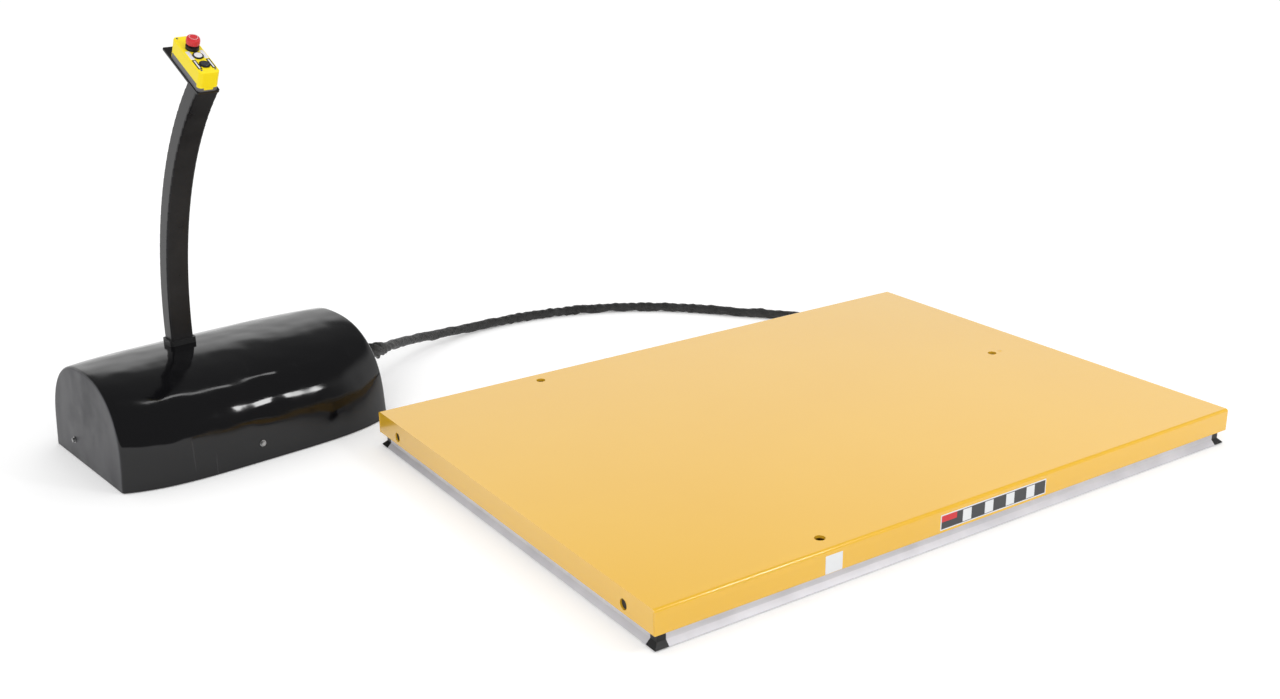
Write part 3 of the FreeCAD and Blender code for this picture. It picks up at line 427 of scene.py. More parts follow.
def routeLine(points):
    curve = bpy.data.curves.new("sleeveLine", "CURVE")
    curve.dimensions = "3D"
    curve.resolution_u = 24
    spline = curve.splines.new("NURBS")
    spline.points.add(len(points) - 1)
    for point, place in zip(spline.points, points):
        point.co = (*place, 1)
    spline.order_u = 3
    spline.use_endpoint_u = True
    holder = bpy.data.objects.new("sleeveLine", curve)
    bpy.context.scene.collection.objects.link(holder)
    return [vertex.co.copy() for vertex in settled(holder).vertices]


def evenly(line, step):
    # the same line as points an even step apart, and its whole length
    reach = [0.0]
    for a, b in zip(line, line[1:]):
        reach.append(reach[-1] + (b - a).length)
    count = max(2, round(reach[-1] / step))
    points, place = [], 0
    for index in range(count + 1):
        want = reach[-1] * index / count
        while place < len(line) - 2 and reach[place + 1] < want:
            place += 1
        part = (want - reach[place]) / (reach[place + 1] - reach[place])
        points.append(line[place].lerp(line[place + 1], part))
    return points, reach[-1]


def sleeveFold(along, angle, waves):
    # how far the cloth stands out at a place along the sleeve and an angle round it
    folds = sum(math.sin(rate * along + start) * math.cos(turns * angle + lean)
                for rate, start, turns, lean in waves[:sleeve["foldCount"]]) / sleeve["foldEase"]
    sharp = sum(1 - 2 * abs(math.sin(0.5 * (rate * along + 2 * turns * angle + lean)))
                for rate, start, turns, lean in waves[sleeve["foldCount"]:]) / sleeve["creaseEase"]
    gathered = 1 / (1 + math.exp((along - sleeve["bunchEnd"]) / sleeve["bunchFade"]))
    wavy = math.exp(-((along - sleeve["scallopPlace"]) / sleeve["scallopReach"]) ** 4)
    scallop = abs(math.sin(math.pi * along / sleeve["scallopPitch"])) - 0.5
    below = max(0, -math.sin(angle + 0.3)) ** 0.7
    return (sleeve["foldDepth"] * folds + sleeve["creaseDepth"] * sharp * (0.25 + wavy * 0.4)
            + gathered * (sleeve["bunchGrowth"] + sleeve["bunchDepth"] * 0.5 * (folds + sharp))
            + wavy * sleeve["scallopDepth"] * scallop * below)


def clothTube(name, line, length, sides, radiusAt, material):
    # a closed tube of cloth round the line, its radius given at each place and angle
    vertices = []
    for index, place in enumerate(line):
        ahead = (line[min(index + 1, len(line) - 1)] - line[max(index - 1, 0)]).normalized()
        side = ahead.cross(Vector((0, 0, 1))).normalized()
        up = side.cross(ahead)
        along = length * index / (len(line) - 1)
        for step in range(sides):
            angle = 2 * math.pi * step / sides
            radius = radiusAt(along, angle)
            spot = place + side * math.cos(angle) * radius + up * math.sin(angle) * radius
            spot.z = max(spot.z, sleeve["floorTouch"])
            vertices.append(spot)
    piece = newPiece(name, vertices, tubeFaces(len(line), sides), material, "root")
    addAround(piece, sides, len(line), length)
    return piece


def makeSleeve(material):
    line, length = evenly(routeLine(sleeveRoute), sleeve["stepLength"])
    rng = random.Random(sleeve["seed"])
    waves = [(rng.uniform(*sleeve["foldRates"]), rng.uniform(0, 6.3), rng.choice((1, 2, 3)),
              rng.uniform(0, 6.3)) for _ in range(sleeve["foldCount"])]
    waves += [(rng.uniform(*sleeve["creaseRates"]), 0, rng.choice((1, 2)), rng.uniform(0, 6.3))
              for _ in range(sleeve["creaseCount"])]

    def sleeveRadius(along, angle):
        calm = min(1, along / sleeve["calmEnd"], (length - along) / sleeve["calmEnd"])
        radius = sleeve["diameter"] / 2 + calm * sleeveFold(along, angle, waves)
        return min(max(radius, sleeve["least"]), sleeve["most"])

    def bunchRadius(along, angle):
        share = along / bunch["length"]
        swell = max(0, 1 - abs(2 * share - 1) ** 3) ** 0.5
        folds = sum(math.sin(rate * bunch["rateGain"] * along + turns * angle + lean)
                    for rate, start, turns, lean in waves[:4]) / 4
        sharp = sum(1 - 2 * abs(math.sin(0.5 * (rate * along + 2 * turns * angle + lean)))
                    for rate, start, turns, lean in waves[7:10]) / 3
        uneven = bunch["unevenness"] * folds + bunch["unevenness"] * sharp
        return bunch["least"] + swell * (bunch["growth"] + bunch["depth"] * uneven)

    piece = clothTube("hose_sleeve_textile", line, length, sleeve["sides"], sleeveRadius, material)
    first = round(bunch["start"] / sleeve["stepLength"])
    last = round((bunch["start"] + bunch["length"]) / sleeve["stepLength"])
    bunched = evenly(line[first:last + 1], bunch["stepLength"])[0]
    gather = clothTube("hose_sleeve_bunch", bunched, bunch["length"], bunch["sides"], bunchRadius,
                       material)
    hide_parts("hose_sleeve")


def addAround(piece, sides, rings, length):
    # a UV map round and along the tube, for the weave
    layer = piece.data.uv_layers.new(name="weave")
    for loop in piece.data.loops:
        index = loop.vertex_index
        layer.data[loop.index].uv = (index % sides / sides, index // sides / max(1, rings - 1) * length)


# Materials: one for each paint, metal and plastic
def paintLook(board):
    here = board.place()
    orange = board.noise(here, 900, 2)
    cloud = board.noise(here, 3.0, 3)
    base = board.mixColour(cloud, rgb(230, 178, 40), rgb(234, 184, 48))
    wear = board.noise(here, 60, 4)
    return {"Base Color": base, "Roughness": 0.17 + wear * 0.08,
            "Normal": board.bump(orange, 0.10, 0.0004)}


def sleeveLook(board):
    weave = board.node("ShaderNodeUVMap", {"uv_map": "weave"})
    fine = board.node("ShaderNodeMapping", inputs={"Vector": weave, "Scale": (46, 700, 1)})
    thread = board.node("ShaderNodeTexWave", {"wave_type": "BANDS", "bands_direction": "DIAGONAL"},
                        {"Vector": fine, "Scale": 1.0, "Distortion": 0.4}, 1)
    patch = board.noise(board.place(), 22, 4)
    crease = board.noise(board.place(), 55, 2, 0.7)
    ridge = (crease - 0.5) * (crease - 0.5) * 9
    shade = board.ramp(patch, [(0.30, grey(0.016)), (0.55, grey(0.026)), (0.80, grey(0.042))])
    tone = board.mixColour(thread * 0.25, shade, grey(0.060))
    return {"Base Color": tone, "Roughness": 0.30 + patch * 0.16,
            "Normal": board.bump(thread * 0.03 + ridge, 0.9, 0.012)}


def brushedLook(board):
    grain = board.noise(board.place(scale=(2, 2, 300)), 6, 3)
    blotch = board.noise(board.place(), 9, 3)
    shade = board.ramp(blotch, [(0.35, rgb(205, 204, 209)), (0.65, rgb(222, 221, 226))])
    return {"Base Color": board.mixColour(grain * 0.25, shade, rgb(232, 231, 236)),
            "Roughness": 0.42 + grain * 0.16, "Normal": board.bump(grain, 0.12, 0.0004)}


def steelLook(board):
    blotch = board.noise(board.place(), 25, 4)
    return {"Base Color": board.ramp(blotch, [(0.3, grey(0.30)), (0.7, grey(0.45))]),
            "Roughness": 0.30 + blotch * 0.2}


def chromeLook(board):
    ring = board.noise(board.place(scale=(300, 1, 1)), 4, 2)
    return {"Base Color": grey(0.78), "Roughness": 0.06 + ring * 0.07}


def plasticLook(colour, rough, spread=0.1):
    def look(board):
        grain = board.noise(board.place(), 1400, 2)
        cloud = board.noise(board.place(), 18, 3)
        return {"Base Color": board.mixColour(cloud * 0.05, colour, grey(0.35)),
                "Roughness": rough + cloud * spread, "Normal": board.bump(grain, 0.08, 0.0003)}
    return look


def coverLook(board):
    here = board.place()
    turned = board.place(scale=(55, 1.6, 1.6), turn=(0, 0, -math.radians(pack["turn"])))
    scratch = board.noise(turned, 2.2, 2)
    lines = board.ramp(scratch, [(0.72, grey(0)), (0.74, grey(1))])
    smudge = board.ramp(board.noise(here, 9, 5), [(0.46, grey(0)), (0.66, grey(1))])
    endFace = board.node("ShaderNodeAttribute", {"attribute_name": "endFace"}, out=2)
    tone = board.mixColour(lines * 0.12, rgb(10, 10, 12), rgb(90, 90, 92))
    # end faces: painted a lighter grey, a painted reflection of the bright surroundings, and also given
    # a rougher satin finish
    tone = board.mixColour(endFace, tone, rgb(50, 50, 54))
    ripple = board.noise(here, 11, 1)
    gloss = 0.08 + smudge * 0.10 + lines * 0.10
    return {"Base Color": tone, "Roughness": gloss + endFace * 0.33,
            "Normal": board.bump(ripple, 0.7, 0.006)}


looks = {
    "deck_paint": finish("deckPaint", paintLook, **{"Coat Weight": 0.6, "Coat Roughness": 0.08}),
    "steel": finish("plainSteel", steelLook, Metallic=1.0),
    "roller_steel": finish("rollerSteel", steelLook, Metallic=1.0),
    "chrome_rod": finish("chromeRod", chromeLook, Metallic=1.0),
    "cylinder_paint": finish("cylinderPaint", plasticLook(rgb(32, 33, 35), 0.34)),
    "bar_aluminium": finish("barAluminium", brushedLook, Metallic=0.35),
    "black_plastic": finish("blackPlastic", plasticLook(rgb(20, 20, 21), 0.36),
                            **{"Specular IOR Level": 0.3}),
    "cover_plastic": finish("coverPlastic", coverLook, **{"Specular IOR Level": 0.42}),
    "post_paint": finish("postPaint", plasticLook(rgb(20, 19, 21), 0.24),
                         **{"Specular IOR Level": 0.24}),
    "grey_plastic": finish("greyPlastic", plasticLook(rgb(96, 96, 99), 0.42)),
    "yellow_plastic": finish("yellowPlastic", plasticLook(rgb(250, 226, 12), 0.34),
                             **{"Specular IOR Level": 0.25}),
    "red_plastic": finish("redPlastic", plasticLook(rgb(208, 36, 44), 0.26),
                          **{"Specular IOR Level": 0.4}),
    "white_plastic": finish("whitePlastic", plasticLook(rgb(228, 230, 232), 0.30)),
    "dark_plastic": finish("darkPlastic", plasticLook(rgb(46, 48, 52), 0.32)),
    "sleeve_textile": finish("sleeveTextile", sleeveLook),
    "rubber": finish("softRubber", plasticLook(rgb(22, 22, 22), 0.62)),
    "spring_steel": finish("springSteel", steelLook, Metallic=1.0),
    "motor_paint": finish("motorPaint", plasticLook(rgb(52, 56, 62), 0.38)),
    "tank_plastic": finish("tankPlastic", plasticLook(rgb(206, 206, 196), 0.40)),
    "zinc": finish("zincPlate", steelLook, Metallic=1.0),
}


def dressNodes():
    # every CAD solid that is still seen wears its slot's material
    for entry in frame["record"]["subparts"]:
        solid = nodes.get(entry["node"])
        if solid is None or solid.name not in bpy.context.scene.objects:
            continue
        solid.data.materials.clear()
        solid.data.materials.append(looks[entry["material_slot"]])


# Power pack cover: a wall that turns into an arch, bulging at mid length, with rounded end edges
cover = {"rows": 56, "archSteps": 72, "edgeSteps": 6, "capBand": 0.003,
         "wallRows": (0.022, 0.041), "endReach": 0.0008}


def coverHalf(share):
    return pack["halfEnd"] + (pack["halfMiddle"] - pack["halfEnd"]) * (
        1 - abs(2 * share - 1) ** pack["bulgePower"])


def coverRow(distance, shrink):
    # the section at a distance from the left end, drawn in by shrink, from the front foot over the top
    share = min(max(distance / pack["length"], 0), 1)
    half = coverHalf(share) - shrink
    rise = pack["height"] - pack["wallHeight"] - shrink
    profile = [(-half, z) for z in (pack["floorGap"], *cover["wallRows"])]
    for step in range(cover["archSteps"] + 1):
        angle = math.pi * step / cover["archSteps"]
        reach = math.copysign(abs(math.cos(angle)) ** (2 / pack["archPower"]), math.cos(angle))
        lift = max(math.sin(angle), 0) ** (2 / pack["archPower"])
        profile.append((-half * reach, pack["wallHeight"] + rise * lift))
    profile += [(half, z) for z in (*cover["wallRows"][::-1], pack["floorGap"])]
    lean = pack["endLean"] * (1 - 2 * share) / pack["height"]
    return [fromPack(distance + lean * z, v, z) for v, z in profile]


def makeCover(material):
    edge, long = pack["edge"], pack["length"]
    turnIn = [(edge * (1 - math.cos(a)), edge * (1 - math.sin(a)))
              for a in [math.pi / 2 * k / cover["edgeSteps"] for k in range(cover["edgeSteps"] + 1)]]
    stops = [(0, edge + cover["capBand"])] + turnIn
    for row in range(1, cover["rows"]):
        share = row / cover["rows"]
        stops.append((edge + (long - 2 * edge) * share, 0))
    stops += [(long - distance, shrink) for distance, shrink in reversed(turnIn)]
    stops.append((long, edge + cover["capBand"]))
    rows = [coverRow(distance, shrink) for distance, shrink in stops]
    around = len(rows[0])
    mesh = bpy.data.meshes.new("outside")
    mesh.from_pydata([tuple(v) for row in rows for v in row], [],
                     tubeFaces(len(rows), around, closedRing=False))
    work = bmesh.new()
    work.from_mesh(mesh)
    bmesh.ops.recalc_face_normals(work, faces=work.faces)
    work.to_mesh(mesh)
    work.free()
    top = max(mesh.polygons, key=lambda face: face.center.z)
    if top.normal.z < 0:
        mesh.flip_normals()
    holder = bpy.data.objects.new("outside", mesh)
    bpy.context.scene.collection.objects.link(holder)
    wall = holder.modifiers.new("wall", "SOLIDIFY")
    wall.thickness = pack["shell"]
    wall.offset = -1
    piece = addPiece("cover_shell", settled(holder), material, "root")
    # marks the end faces, which the shader paints a lighter grey as a painted reflection and makes
    # rougher
    satinAndSheen = piece.data.attributes.new("endFace", "FLOAT", "POINT")
    toLocal = Matrix.Rotation(-math.radians(pack["turn"]), 3, "Z")
    for vertex, item in zip(piece.data.vertices, satinAndSheen.data):
        s = (toLocal @ (vertex.co - Vector((*pack["corner"], 0)))).x
        lean = pack["endLean"] * vertex.co.z / pack["height"]
        nearest = min(s - lean, pack["length"] - lean - s)
        item.value = 1.0 if nearest < cover["endReach"] else 0.0
    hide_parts("pack_cover")


# Bolts that hold the cover
coverBolt = {"Washer Radius": 0.0075, "Washer Thickness": 0.0015, "Head Radius": 0.0058,
             "Head Height": 0.0048, "height": 0.046, "endOffset": 0.075, "sideShare": 0.47,
             "shankShare": 0.82, "crownShare": 0.18, "crownTop": 0.70, "crownFoot": 0.866}


def boltTree(material):
    tree, board, given = newTree("coverBolt", ["Washer Radius", "Washer Thickness", "Head Radius",
                                               "Head Height"])
    half = given["Washer Thickness"] * 0.5
    washer = board.node("GeometryNodeMeshCylinder", inputs={
        "Vertices": 40, "Radius": given["Washer Radius"], "Depth": given["Washer Thickness"]})
    rise = board.node("ShaderNodeCombineXYZ", inputs={"Z": half})
    washer = board.moved(washer, rise)
    shank = board.node("GeometryNodeMeshCylinder", inputs={
        "Vertices": 6, "Radius": given["Head Radius"],
        "Depth": given["Head Height"] * coverBolt["shankShare"]})
    rise = board.node("ShaderNodeCombineXYZ", inputs={
        "Z": given["Washer Thickness"] + given["Head Height"] * (coverBolt["shankShare"] / 2)})
    shank = board.moved(shank, rise)
    crown = board.node("GeometryNodeMeshCone", inputs={
        "Vertices": 36, "Radius Top": given["Head Radius"] * coverBolt["crownTop"],
        "Radius Bottom": given["Head Radius"] * coverBolt["crownFoot"],
        "Depth": given["Head Height"] * coverBolt["crownShare"]})
    rise = board.node("ShaderNodeCombineXYZ", inputs={
        "Z": given["Washer Thickness"] + given["Head Height"] * coverBolt["shankShare"]})
    crown = board.moved(crown, rise)
    bolt = board.join(washer, shank, crown)
    placed = board.node("GeometryNodeInstanceOnPoints", inputs={
        "Points": given["Geometry"], "Instance": bolt, "Rotation": board.facing()})
    grow(board, placed, material)
    return tree


def makeCoverBolts(material):
    lean = pack["endLean"] * coverBolt["height"] / pack["height"]
    side = coverHalf(coverBolt["sideShare"])
    along = fromPack(1, 0, 0) - fromPack(0, 0, 0)
    across = fromPack(0, 1, 0) - fromPack(0, 0, 0)
    places = [fromPack(lean, coverBolt["endOffset"], coverBolt["height"]),
              fromPack(pack["length"] - lean, -coverBolt["endOffset"], coverBolt["height"]),
              fromPack(pack["length"] * coverBolt["sideShare"], -side, coverBolt["height"]),
              fromPack(pack["length"] * coverBolt["sideShare"], side, coverBolt["height"])]
    bolts = plant("cover_bolt_heads", boltTree(material), coverBolt, places, "root",
                  [-along, along, -across, across])
    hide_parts("pack_cover_bolts")


# Hand station: x runs down its slope, y along the pack, z out of its face
station = {"postPlace": (0.267, 0.0437), "side": -0.003, "arcRadius": 0.839, "arcStart": 0.232,
           "arcTurn": 49.3, "tilt": 28.2, "overhang": 0.056, "top": 0.051, "stopPlace": -0.005,
           "upPlace": 0.023, "downPlace": 0.054, "capBase": 0.0635}


def stationAxes():
    tilt, arc = math.radians(station["tilt"]), math.radians(station["arcTurn"])
    start = fromPack(0, 0, 0)
    along = fromPack(1, 0, 0) - start
    across = fromPack(0, 1, 0) - start
    up = Vector((0, 0, 1))
    down = -across * math.cos(tilt) - up * math.sin(tilt)
    out = -across * math.sin(tilt) + up * math.cos(tilt)
    end = fromPack(station["postPlace"][0] + station["side"],
                   station["postPlace"][1] - station["arcRadius"] * (1 - math.cos(arc)),
                   station["arcStart"] + station["arcRadius"] * math.sin(arc))
    return end - down * station["overhang"], down, along, out


def onStation(x, y, z):
    middle, down, along, out = stationAxes()
    return middle + down * x + along * y + out * z


# Stop button's mushroom head with finger grips and a pale ring on top
stopCap = {"radius": 0.0145, "height": 0.016, "grips": 16, "gripDepth": 0.0005, "steps": 128,
           "ringRadius": 0.0088, "ringThick": 0.00045, "ringSink": 0.0003}


def makeStopCap(material, ringMaterial):
    middle, down, along, out = stationAxes()
    base = middle + down * station["stopPlace"] + out * station["capBase"]
    r, h = stopCap["radius"], stopCap["height"]
    profile = [(0.0051, 0), (r - 0.0022, 0), (r - 0.0006, 0.0008), (r, 0.0026), (r, h * 0.55),
               (r - 0.0003, h * 0.70), (r - 0.0012, h * 0.84), (r - 0.0028, h * 0.95),
               (r - 0.0050, h * 0.995), (0.0078, h), (0.0068, h - 0.0005), (0.0030, h - 0.0005)]
    grips = {3: 1.0, 4: 1.0, 5: 0.7, 2: 0.6}
    steps = stopCap["steps"]
    vertices = []
    for index, (radius, height) in enumerate(profile):
        for step in range(steps):
            angle = 2 * math.pi * step / steps
            wave = max(0, math.cos(angle * stopCap["grips"])) ** 3
            reach = radius - stopCap["gripDepth"] * grips.get(index, 0) * wave
            vertices.append(base + (down * math.cos(angle) + along * math.sin(angle)) * reach
                            + out * height)
    cap = newPiece("stop_cap_head", vertices, tubeFaces(len(profile), steps), material,
                   "stop_cap")
    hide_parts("stop_cap")
    makeRing("stop_cap_ring", base + out * (h - stopCap["ringSink"]), out, stopCap["ringRadius"],
             stopCap["ringThick"], ringMaterial, "stop_cap")


def makeRing(name, middle, out, radius, thick, material, body, steps=64, sides=10):
    out = Vector(out).normalized()
    side = out.orthogonal().normalized()
    other = out.cross(side)
    vertices, faces = [], []
    for step in range(steps):
        angle = 2 * math.pi * step / steps
        way = side * math.cos(angle) + other * math.sin(angle)
        for turn in range(sides):
            lean = 2 * math.pi * turn / sides
            vertices.append(Vector(middle) + way * (radius + thick * math.cos(lean))
                            + out * thick * math.sin(lean))
    for step in range(steps):
        for turn in range(sides):
            a = step * sides + turn
            b = step * sides + (turn + 1) % sides
            c = (step + 1) % steps * sides + (turn + 1) % sides
            faces.append((a, b, c, (step + 1) % steps * sides + turn))
    return newPiece(name, vertices, faces, material, body)


# Blank label strips beside the buttons: a white one and a black one with a white middle
stationLabels = {"lidHalf": 0.0225, "width": 0.0085, "inset": 0.0030, "thickness": 0.0004,
                 "whiteStart": 0.004, "whiteLength": 0.029, "blackStart": 0.035,
                 "blackLength": 0.033, "blackEdge": 0.0026, "middleThickness": 0.0002,
                 "cornerRadius": 0.0006, "middleRadius": 0.0004}


def makeStationLabels(white, black):
    down, along = stationAxes()[1:3]
    half, wide, edge = stationLabels["lidHalf"], stationLabels["width"], stationLabels["blackEdge"]
    thick = stationLabels["thickness"]
    strips = (("white", stationLabels["whiteStart"], stationLabels["whiteLength"], white),
              ("black", stationLabels["blackStart"], stationLabels["blackLength"], black))
    for side, low in (("left", -half + stationLabels["inset"]),
                      ("right", half - stationLabels["inset"] - wide)):
        for colour, start, long, material in strips:
            flatPlate("station_label_%s_%s" % (colour, side), onStation(start, low, station["top"]),
                      down, along, (long, wide), thick, stationLabels["cornerRadius"], material,
                      "root", colour + "_plastic")
        flatPlate("station_label_middle_" + side,
                  onStation(stationLabels["blackStart"] + edge, low + edge, station["top"] + thick),
                  down, along, (stationLabels["blackLength"] - 2 * edge, wide - 2 * edge),
                  stationLabels["middleThickness"], stationLabels["middleRadius"], white, "root",
                  "white_plastic")


# Cross-head screws in the hand station's lid
stationScrew = {"Head Radius": 0.0024, "Head Height": 0.0009, "xs": (-0.044, 0.072), "side": 0.015}


def screwTree(material):
    tree, board, given = newTree("stationScrew", ["Head Radius", "Head Height"])
    rim = board.node("GeometryNodeMeshCone", inputs={
        "Vertices": 32, "Radius Top": given["Head Radius"] * 0.8,
        "Radius Bottom": given["Head Radius"], "Depth": given["Head Height"]})
    slots = []
    for turn in (0, math.pi / 2):
        size = board.node("ShaderNodeCombineXYZ", inputs={
            "X": given["Head Radius"] * 1.2, "Y": given["Head Radius"] * 0.28,
            "Z": given["Head Height"]})
        rise = board.node("ShaderNodeCombineXYZ", inputs={"Z": given["Head Height"]})
        box = board.node("GeometryNodeMeshCube", inputs={"Size": size})
        slots.append(board.moved(box, rise, (0, 0, turn)))
    cross = board.node("GeometryNodeMeshBoolean", {"operation": "UNION"}, {1: slots[0]})
    board.tree.links.new(slots[1].socket, cross.socket.node.inputs[1])
    head = board.node("GeometryNodeMeshBoolean", {"operation": "DIFFERENCE"}, {0: rim, 1: cross})
    placed = board.node("GeometryNodeInstanceOnPoints", inputs={
        "Points": given["Geometry"], "Instance": head, "Rotation": board.facing()})
    grow(board, placed, material)
    return tree


def makeStationScrews(material):
    out = stationAxes()[3]
    places = [onStation(x, y, station["top"]) for x in stationScrew["xs"]
              for y in (-stationScrew["side"], stationScrew["side"])]
    screws = plant("station_screw_heads", screwTree(material), stationScrew, places, "root",
                   [out] * len(places))
    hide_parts("station_screws")


# Springs that press the trip bar down
barSpring = {"Coil Radius": 0.0042, "Wire Radius": 0.0007, "Turns": 5.0, "Height": 0.0136,
             "low": 0.0647, "high": 0.079, "sideXs": (-0.54, 0.06, 0.54), "sideY": 0.548,
             "endX": 0.778, "endYs": (-0.3, 0.3)}


def springTree(material):
    tree, board, given = newTree("barSpring", ["Coil Radius", "Wire Radius", "Turns", "Height"])
    line = board.node("GeometryNodeCurveSpiral", inputs={
        "Resolution": 20, "Rotations": given["Turns"], "Start Radius": given["Coil Radius"],
        "End Radius": given["Coil Radius"], "Height": given["Height"]})
    wire = board.node("GeometryNodeCurvePrimitiveCircle", {"mode": "RADIUS"},
                      {"Resolution": 10, "Radius": given["Wire Radius"]})
    coil = board.node("GeometryNodeCurveToMesh", inputs={"Curve": line, "Profile Curve": wire,
                                                         "Fill Caps": True})
    placed = board.node("GeometryNodeInstanceOnPoints", inputs={
        "Points": given["Geometry"], "Instance": coil})
    grow(board, placed, material)
    return tree


def makeSprings(material):
    # the coils stand where the frame has its plain sleeves
    sideY, endX, low = barSpring["sideY"], barSpring["endX"], barSpring["low"]
    places = [(x, y, low) for x in barSpring["sideXs"] for y in (-sideY, sideY)]
    places += [(x, y, low) for x in (-endX, endX) for y in barSpring["endYs"]]
    springs = plant("trip_spring_coils", springTree(material), barSpring, places, "platform")
    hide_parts("trip_springs")
    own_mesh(springs)


# Deck trim: weld beads at the corners, rims of the holes and a small plug
deck = {"halfLength": 0.8, "halfWidth": 0.57, "top": 0.085, "skirtLow": 0.0333,
        "beadStep": 0.0024, "beadRadius": 0.0021, "seamY": 0.5665, "seed": 5,
        "topHoles": ((-0.388, -0.524), (-0.388, 0.524), (0.650, 0.015)),
        "sideY": 0.471, "sideZ": 0.052, "holeRadius": 0.011, "plugPlace": (0.680, 0.017),
        # the next values place dark discs behind the end skirts' holes, as painted shade
        "shadeDiscX": 0.7945, "shadeDiscDepth": 0.0035, "shadeDiscRadius": 0.0125,
        "beadStart": 0.002, "beadTop": 0.0785, "beadSink": 0.0003, "beadWander": 0.0004,
        "lastBead": (0.0010, 0.0005, 0.0795), "rimSink": 0.0001, "rimGap": 0.0003,
        "rimRadius": 0.0004, "plugProfile": ((0.0062, -0.0004), (0.0062, 0.0001), (0.0057, 0.0005),
                                             (0.0040, 0.0007), (0.0020, 0.0008))}


def beadTree(material):
    tree, board, given = newTree("weldBead", ["Bead Radius"])
    lump = board.node("GeometryNodeMeshUVSphere", inputs={
        "Segments": 14, "Rings": 8, "Radius": given["Bead Radius"]})
    size = board.node("FunctionNodeRandomValue", {"data_type": "FLOAT_VECTOR"},
                      {"Min": (0.55, 0.8, 0.75), "Max": (0.75, 1.1, 1.1), "Seed": deck["seed"]})
    placed = board.node("GeometryNodeInstanceOnPoints", inputs={
        "Points": given["Geometry"], "Instance": lump, "Scale": size})
    grow(board, placed, material)
    return tree


def makeWelds(material):
    rng = random.Random(deck["seed"])
    wander, (inward, aside, high) = deck["beadWander"], deck["lastBead"]
    places = []
    for sx in (-1, 1):
        for sy in (-1, 1):
            z = deck["skirtLow"] + deck["beadStart"]
            while z < deck["beadTop"]:
                places.append((sx * (deck["halfLength"] - deck["beadSink"]),
                               sy * (deck["seamY"] + rng.uniform(-wander, wander)), z))
                z += deck["beadStep"]
            places.append((sx * (deck["halfLength"] - inward), sy * (deck["seamY"] - aside), high))
    plant("corner_welds", beadTree(material), {"Bead Radius": deck["beadRadius"]}, places,
          "platform")


def rimTree(material):
    tree, board, given = newTree("holeRim", ["Hole Radius", "Rim Radius"])
    line = board.node("GeometryNodeCurvePrimitiveCircle", {"mode": "RADIUS"},
                      {"Resolution": 64, "Radius": given["Hole Radius"]})
    bead = board.node("GeometryNodeCurvePrimitiveCircle", {"mode": "RADIUS"},
                      {"Resolution": 10, "Radius": given["Rim Radius"]})
    ring = board.node("GeometryNodeCurveToMesh", inputs={"Curve": line, "Profile Curve": bead})
    placed = board.node("GeometryNodeInstanceOnPoints", inputs={
        "Points": given["Geometry"], "Instance": ring, "Rotation": board.facing()})
    grow(board, placed, material)
    return tree


def makeRims(material):
    places = [(x, y, deck["top"] - deck["rimSink"]) for x, y in deck["topHoles"]]
    ways = [(0, 0, 1)] * len(places)
    for sx in (-1, 1):
        for sy in (-1, 1):
            places.append((sx * (deck["halfLength"] - deck["rimSink"]), sy * deck["sideY"],
                           deck["sideZ"]))
            ways.append((sx, 0, 0))
    plant("hole_rims", rimTree(material), {"Hole Radius": deck["holeRadius"] + deck["rimGap"],
                                           "Rim Radius": deck["rimRadius"]}, places, "platform",
          ways)


# dark discs for the end skirts' holes: painted shade
def shadeDiscTree(material):
    tree, board, given = newTree("holeShadeDisc", ["Shade Disc Radius", "Shade Disc Depth"])
    disc = board.node("GeometryNodeMeshCylinder", inputs={
        "Vertices": 48, "Radius": given["Shade Disc Radius"], "Depth": given["Shade Disc Depth"]})
    placed = board.node("GeometryNodeInstanceOnPoints", inputs={
        "Points": given["Geometry"], "Instance": disc, "Rotation": board.facing()})
    grow(board, placed, material)
    return tree


def makeHoleShadeDiscs(material):
    # painted shade: dark discs close the end skirts' holes from inside, standing in for the shade under
    # the deck
    places = [(sx * deck["shadeDiscX"], sy * deck["sideY"], deck["sideZ"])
              for sx in (-1, 1) for sy in (-1, 1)]
    plant("hole_stoppers", shadeDiscTree(material), {"Shade Disc Radius": deck["shadeDiscRadius"],
                                                   "Shade Disc Depth": deck["shadeDiscDepth"]},
          places, "platform", [(math.copysign(1, place[0]), 0, 0) for place in places])


def makePlug(material):
    x, y = deck["plugPlace"]
    profile, steps = deck["plugProfile"], 40
    vertices = [Vector((x + r * math.cos(2 * math.pi * k / steps),
                        y + r * math.sin(2 * math.pi * k / steps), deck["top"] + z))
                for r, z in profile for k in range(steps)]
    newPiece("deck_plug", vertices, tubeFaces(len(profile), steps), material, "platform")


# Blank labels on the front skirt
skirtLabels = {"smallPlace": (-0.412, 0.034), "smallSize": (0.042, 0.038), "longPlace": (-0.114, 0.0385),
               "longSize": (0.304, 0.034), "border": 0.0025, "thickness": 0.0003,
               "blockSize": (0.042, 0.0135), "squareSize": (0.024, 0.026),
               "squares": (0.0734, 0.1357, 0.197, 0.257)}


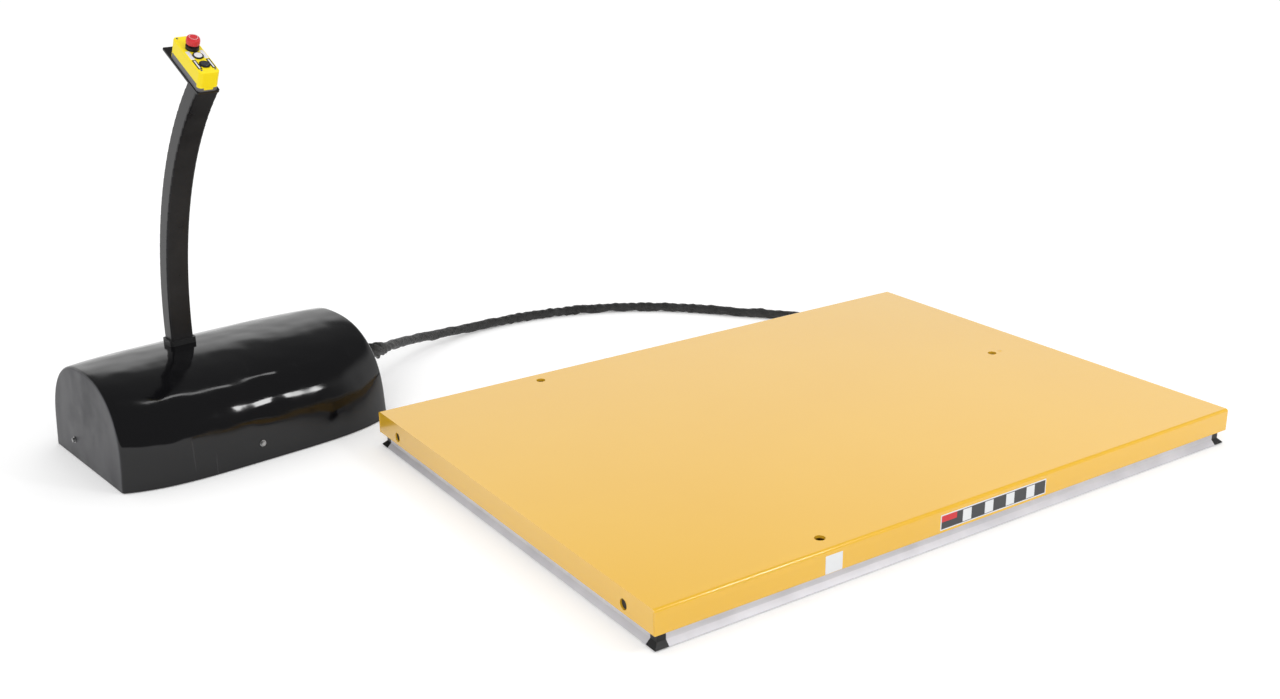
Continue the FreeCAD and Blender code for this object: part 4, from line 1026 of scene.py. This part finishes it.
def squareTree(material):
    tree, board, given = newTree("labelSquare", ["Width", "Height", "Thickness"])
    size = board.node("ShaderNodeCombineXYZ", inputs={"X": given["Width"], "Y": given["Thickness"],
                                                      "Z": given["Height"]})
    box = board.node("GeometryNodeMeshCube", inputs={"Size": size})
    placed = board.node("GeometryNodeInstanceOnPoints", inputs={
        "Points": given["Geometry"], "Instance": box})
    grow(board, placed, material)
    return tree


def makeSkirtLabels(white, dark, red):
    face = -deck["halfWidth"]
    along, up = (1, 0, 0), (0, 0, 1)
    thick = skirtLabels["thickness"]
    x, z = skirtLabels["smallPlace"]
    flatPlate("skirt_label_small", (x, face, z), along, up, skirtLabels["smallSize"], thick, 0.001,
              white, "platform", "white_plastic")
    x, z = skirtLabels["longPlace"]
    wide, tall = skirtLabels["longSize"]
    flatPlate("skirt_label_edge", (x, face, z), along, up, (wide, tall), thick, 0.001, white,
              "platform", "white_plastic")
    edge = skirtLabels["border"]
    flatPlate("skirt_label_strip", (x + edge, face - thick, z + edge), along, up,
              (wide - 2 * edge, tall - 2 * edge), thick / 2, 0.0008, dark, "platform", "dark_plastic")
    blockWide, blockTall = skirtLabels["blockSize"]
    flatPlate("skirt_label_block", (x + edge, face - 1.5 * thick, z + tall - edge - blockTall), along,
              up, (blockWide, blockTall), thick / 2, 0.0008, red, "platform", "red_plastic")
    squareWide, squareTall = skirtLabels["squareSize"]
    places = [(x + place, face - 1.7 * thick, z + tall / 2) for place in skirtLabels["squares"]]
    plant("skirt_label_squares", squareTree(white), {"Width": squareWide, "Height": squareTall,
                                                     "Thickness": thick}, places, "platform")


dressNodes()
makeSleeve(looks["sleeve_textile"])
print("sleeve laid")
makeCover(looks["cover_plastic"])
makeCoverBolts(looks["zinc"])
print("cover ready")
makeStopCap(looks["red_plastic"], looks["white_plastic"])
makeStationLabels(looks["white_plastic"], looks["black_plastic"])
makeStationScrews(looks["zinc"])
print("hand station ready")
makeSprings(looks["spring_steel"])
makeWelds(looks["deck_paint"])
makeRims(looks["deck_paint"])
# dark discs in the end skirts' holes: painted shade
makeHoleShadeDiscs(looks["rubber"])
makePlug(looks["deck_paint"])
makeSkirtLabels(looks["white_plastic"], looks["dark_plastic"], looks["red_plastic"])
print("deck trim ready")
